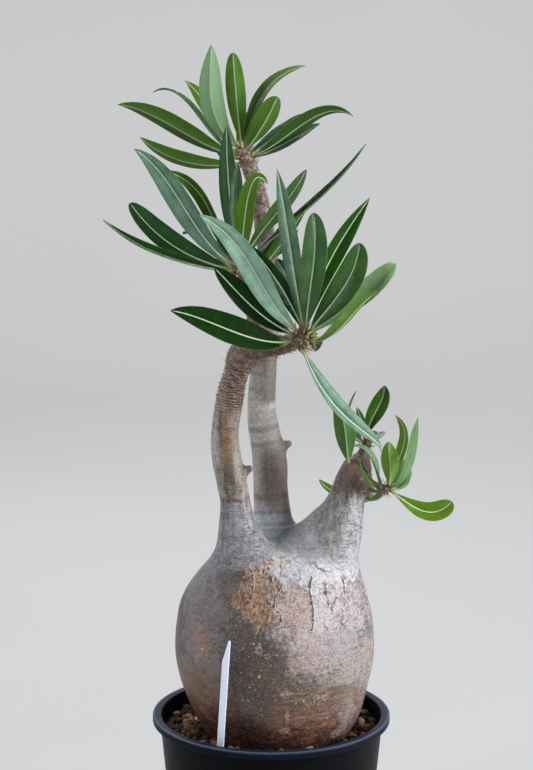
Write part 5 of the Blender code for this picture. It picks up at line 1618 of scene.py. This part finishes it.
def make_label(finish):
    tip, soil = np.array(LABEL_TIP), np.array(LABEL_SOIL_POINT)
    up = (tip - soil) / np.linalg.norm(tip - soil)
    across = np.array((math.cos(LABEL_TURN), math.sin(LABEL_TURN), 0))
    across -= up * (across @ up)
    across /= np.linalg.norm(across)
    foot, through, half = tip - up * LABEL_LENGTH, np.cross(across, up), LABEL_WIDTH / 2
    outline = ((-half, 0), (half, 0), (half, LABEL_LENGTH), (half - LABEL_BLUNT, LABEL_LENGTH),
               (-half, LABEL_LENGTH - LABEL_POINT))
    points = [foot + across * x + up * z + through * side * LABEL_THICK / 2
              for side in (-1, 1) for x, z in outline]
    count = len(outline)
    faces = [tuple(reversed(range(count))), tuple(range(count, 2 * count))]
    faces += [(i, (i + 1) % count, count + (i + 1) % count, count + i) for i in range(count)]
    label = new_object("plant_label", points, faces, finish)
    soften = label.modifiers.new("soften", "BEVEL")
    soften.width = LABEL_BEVEL * MM
    soften.segments = 3
    applied(label)
    label.data.shade_smooth()
    label.data.set_sharp_from_angle(angle=math.radians(35))
    return label


label_white = Finish("label_white", Specular_IOR_Level=0.45)
smudge = label_white.noise(6, 3)
level = label_white.parts(label_white.warped((0.8, 4.0)))["Z"]
soiled = 1 - label_white.step(level, 117, 124)
white = label_white.layered((0.74, 0.79, 1.0), (smudge, (0.82, 0.87, 1.0)),
                            (soiled * 0.7, (0.4, 0.3, 0.2)))
label_white.wear(Base_Color=white, Roughness=0.35 + smudge * 0.15,
                 Normal=label_white.bump(smudge, 0.05))
plant_label = make_label(label_white)
print("the label has", len(plant_label.data.polygons), "faces")

# %% [markdown]
# ## Tie the pieces to the model
#
# Each piece rides on the model's one body, and the solids that it stands for are hidden.

# %% Ride and replace
PIECES = (
    (woody_plant, ("plant",), "bark"), (leaf_scars, (), "bark"), (spines, (), "bark"),
    (bracts, (), "young_leaf"),
    (nursery_pot, ("pot",), "pot_plastic"), (soil_body, ("soil",), "soil_mix"),
    (soil_grains, ("soil",), "soil_mix"), (plant_label, ("label",), "label_plastic"),
)
for piece, nodes, finish in PIECES:
    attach(piece, "root")
    if nodes:
        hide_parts(*nodes)

# %% [markdown]
# ## Floor, light and camera
#
# The plant stands on a pale floor in a soft studio. Behind it the floor sweeps up into a wall with
# no corner, as a paper roll does, so that no edge shows behind the leaves. The floor also glows a
# little, so that it stays pale far from the lights. A large light on the right models the belly, a
# weaker one on the left lifts its shadow side, a third behind gives the leaves their glossy edges,
# and a fourth lights the wall. The sky is palest at the horizon and dim above it.

# %% Floor
SWEEP_START = 1.7
SWEEP_RADIUS = 0.7
SWEEP_TOP = 3.2
FLOOR_REACH = 8.0


def make_floor(finish):
    turns = np.linspace(0, math.pi / 2, 13)
    profile = [(-FLOOR_REACH, 0.0), (0.0, 0.0)]
    profile += [(SWEEP_START + SWEEP_RADIUS * math.sin(t), SWEEP_RADIUS * (1 - math.cos(t)))
                for t in turns]
    profile.append((SWEEP_START + SWEEP_RADIUS, SWEEP_TOP))
    points = [(x / MM, y / MM, z / MM) for y, z in profile for x in (-FLOOR_REACH, FLOOR_REACH)]
    faces = [(2 * i, 2 * i + 1, 2 * i + 3, 2 * i + 2) for i in range(len(profile) - 1)]
    return new_object("floor", points, faces, finish)


floor_paint = Finish("floor_paint", Specular_IOR_Level=0.1, Emission_Strength=0.3)
dust = floor_paint.noise(400, 2)
floor_paint.wear(Base_Color=floor_paint.mix(dust, (0.27, 0.27, 0.273), (0.3, 0.3, 0.303)),
                 Roughness=0.85)
floor = make_floor(floor_paint)
print("the floor is", floor.dimensions.x, "m wide")


# %% Light
LIGHTS = (
    ("right_light", (1.1, -0.42, 0.62), (0, 0, 0.26), (0.55, 0.9), 25.5, (0.95, 0.97, 1.0), 180),
    ("left_light", (-0.95, -0.7, 1.05), (0, 0, 0.32), (0.6, 0.9), 12.5, (0.94, 0.97, 1.0), 180),
    ("back_light", (-0.3, 1.0, 1.1), (0, 0, 0.42), (1.2, 0.6), 12, (0.97, 0.99, 1.0), 180),
    ("wall_light", (0, 1.3, 2.8), (0, 2.4, 0.9), (3.0, 0.4), 20, (1.0, 1.0, 1.0), 100),
)


def add_light(name, place, target, size, power, colour, spread):
    lamp = bpy.data.lights.new(name, "AREA")
    lamp.shape = "RECTANGLE"
    lamp.size, lamp.size_y = size
    lamp.energy = power
    lamp.spread = math.radians(spread)
    lamp.color = colour
    made = bpy.data.objects.new(name, lamp)
    made.location = place
    made.rotation_mode = "QUATERNION"
    made.rotation_quaternion = (Vector(target) - Vector(place)).to_track_quat("-Z", "Y")
    bpy.context.scene.collection.objects.link(made)

for row in LIGHTS:
    add_light(*row)
print(len(bpy.data.lights), "lights")

# %% Sky
HORIZON = (0.35, 0.355, 0.365)
ZENITH = (0.1, 0.105, 0.115)
studio = bpy.data.worlds.new("studio")
studio.use_nodes = True
sky = Tree(studio.node_tree)
rising = sky.parts(sky.node("ShaderNodeTexCoord")["Generated"])["Z"]
glow = sky.node("ShaderNodeMix", {"data_type": "RGBA"},
                {0: sky.step(rising, 0.0, 0.5), 6: HORIZON, 7: ZENITH})[2]
sky.feed(studio.node_tree.nodes["Background"].inputs["Color"], glow)
bpy.context.scene.world = studio
bpy.context.scene.view_settings.view_transform = "Standard"
print("the sky has", len(sky.group.nodes), "nodes")

# %% Camera
lens = bpy.data.cameras.new("camera")
lens.lens = 93.5
lens.sensor_width = 36
lens.sensor_fit = "AUTO"
lens.clip_start = 0.01
camera = bpy.data.objects.new("camera", lens)
camera.location = (-0.003, -1.212, 0.554)
camera.rotation_euler = (math.radians(79.9), 0, 0)
bpy.context.scene.collection.objects.link(camera)
bpy.context.scene.camera = camera
print("the camera stands at", tuple(camera.location))

# %% [markdown]
# ## The end
#
# The dressed plant has to stay in the solids' box.

# %% Bring the scene up to date
bpy.context.view_layer.update()
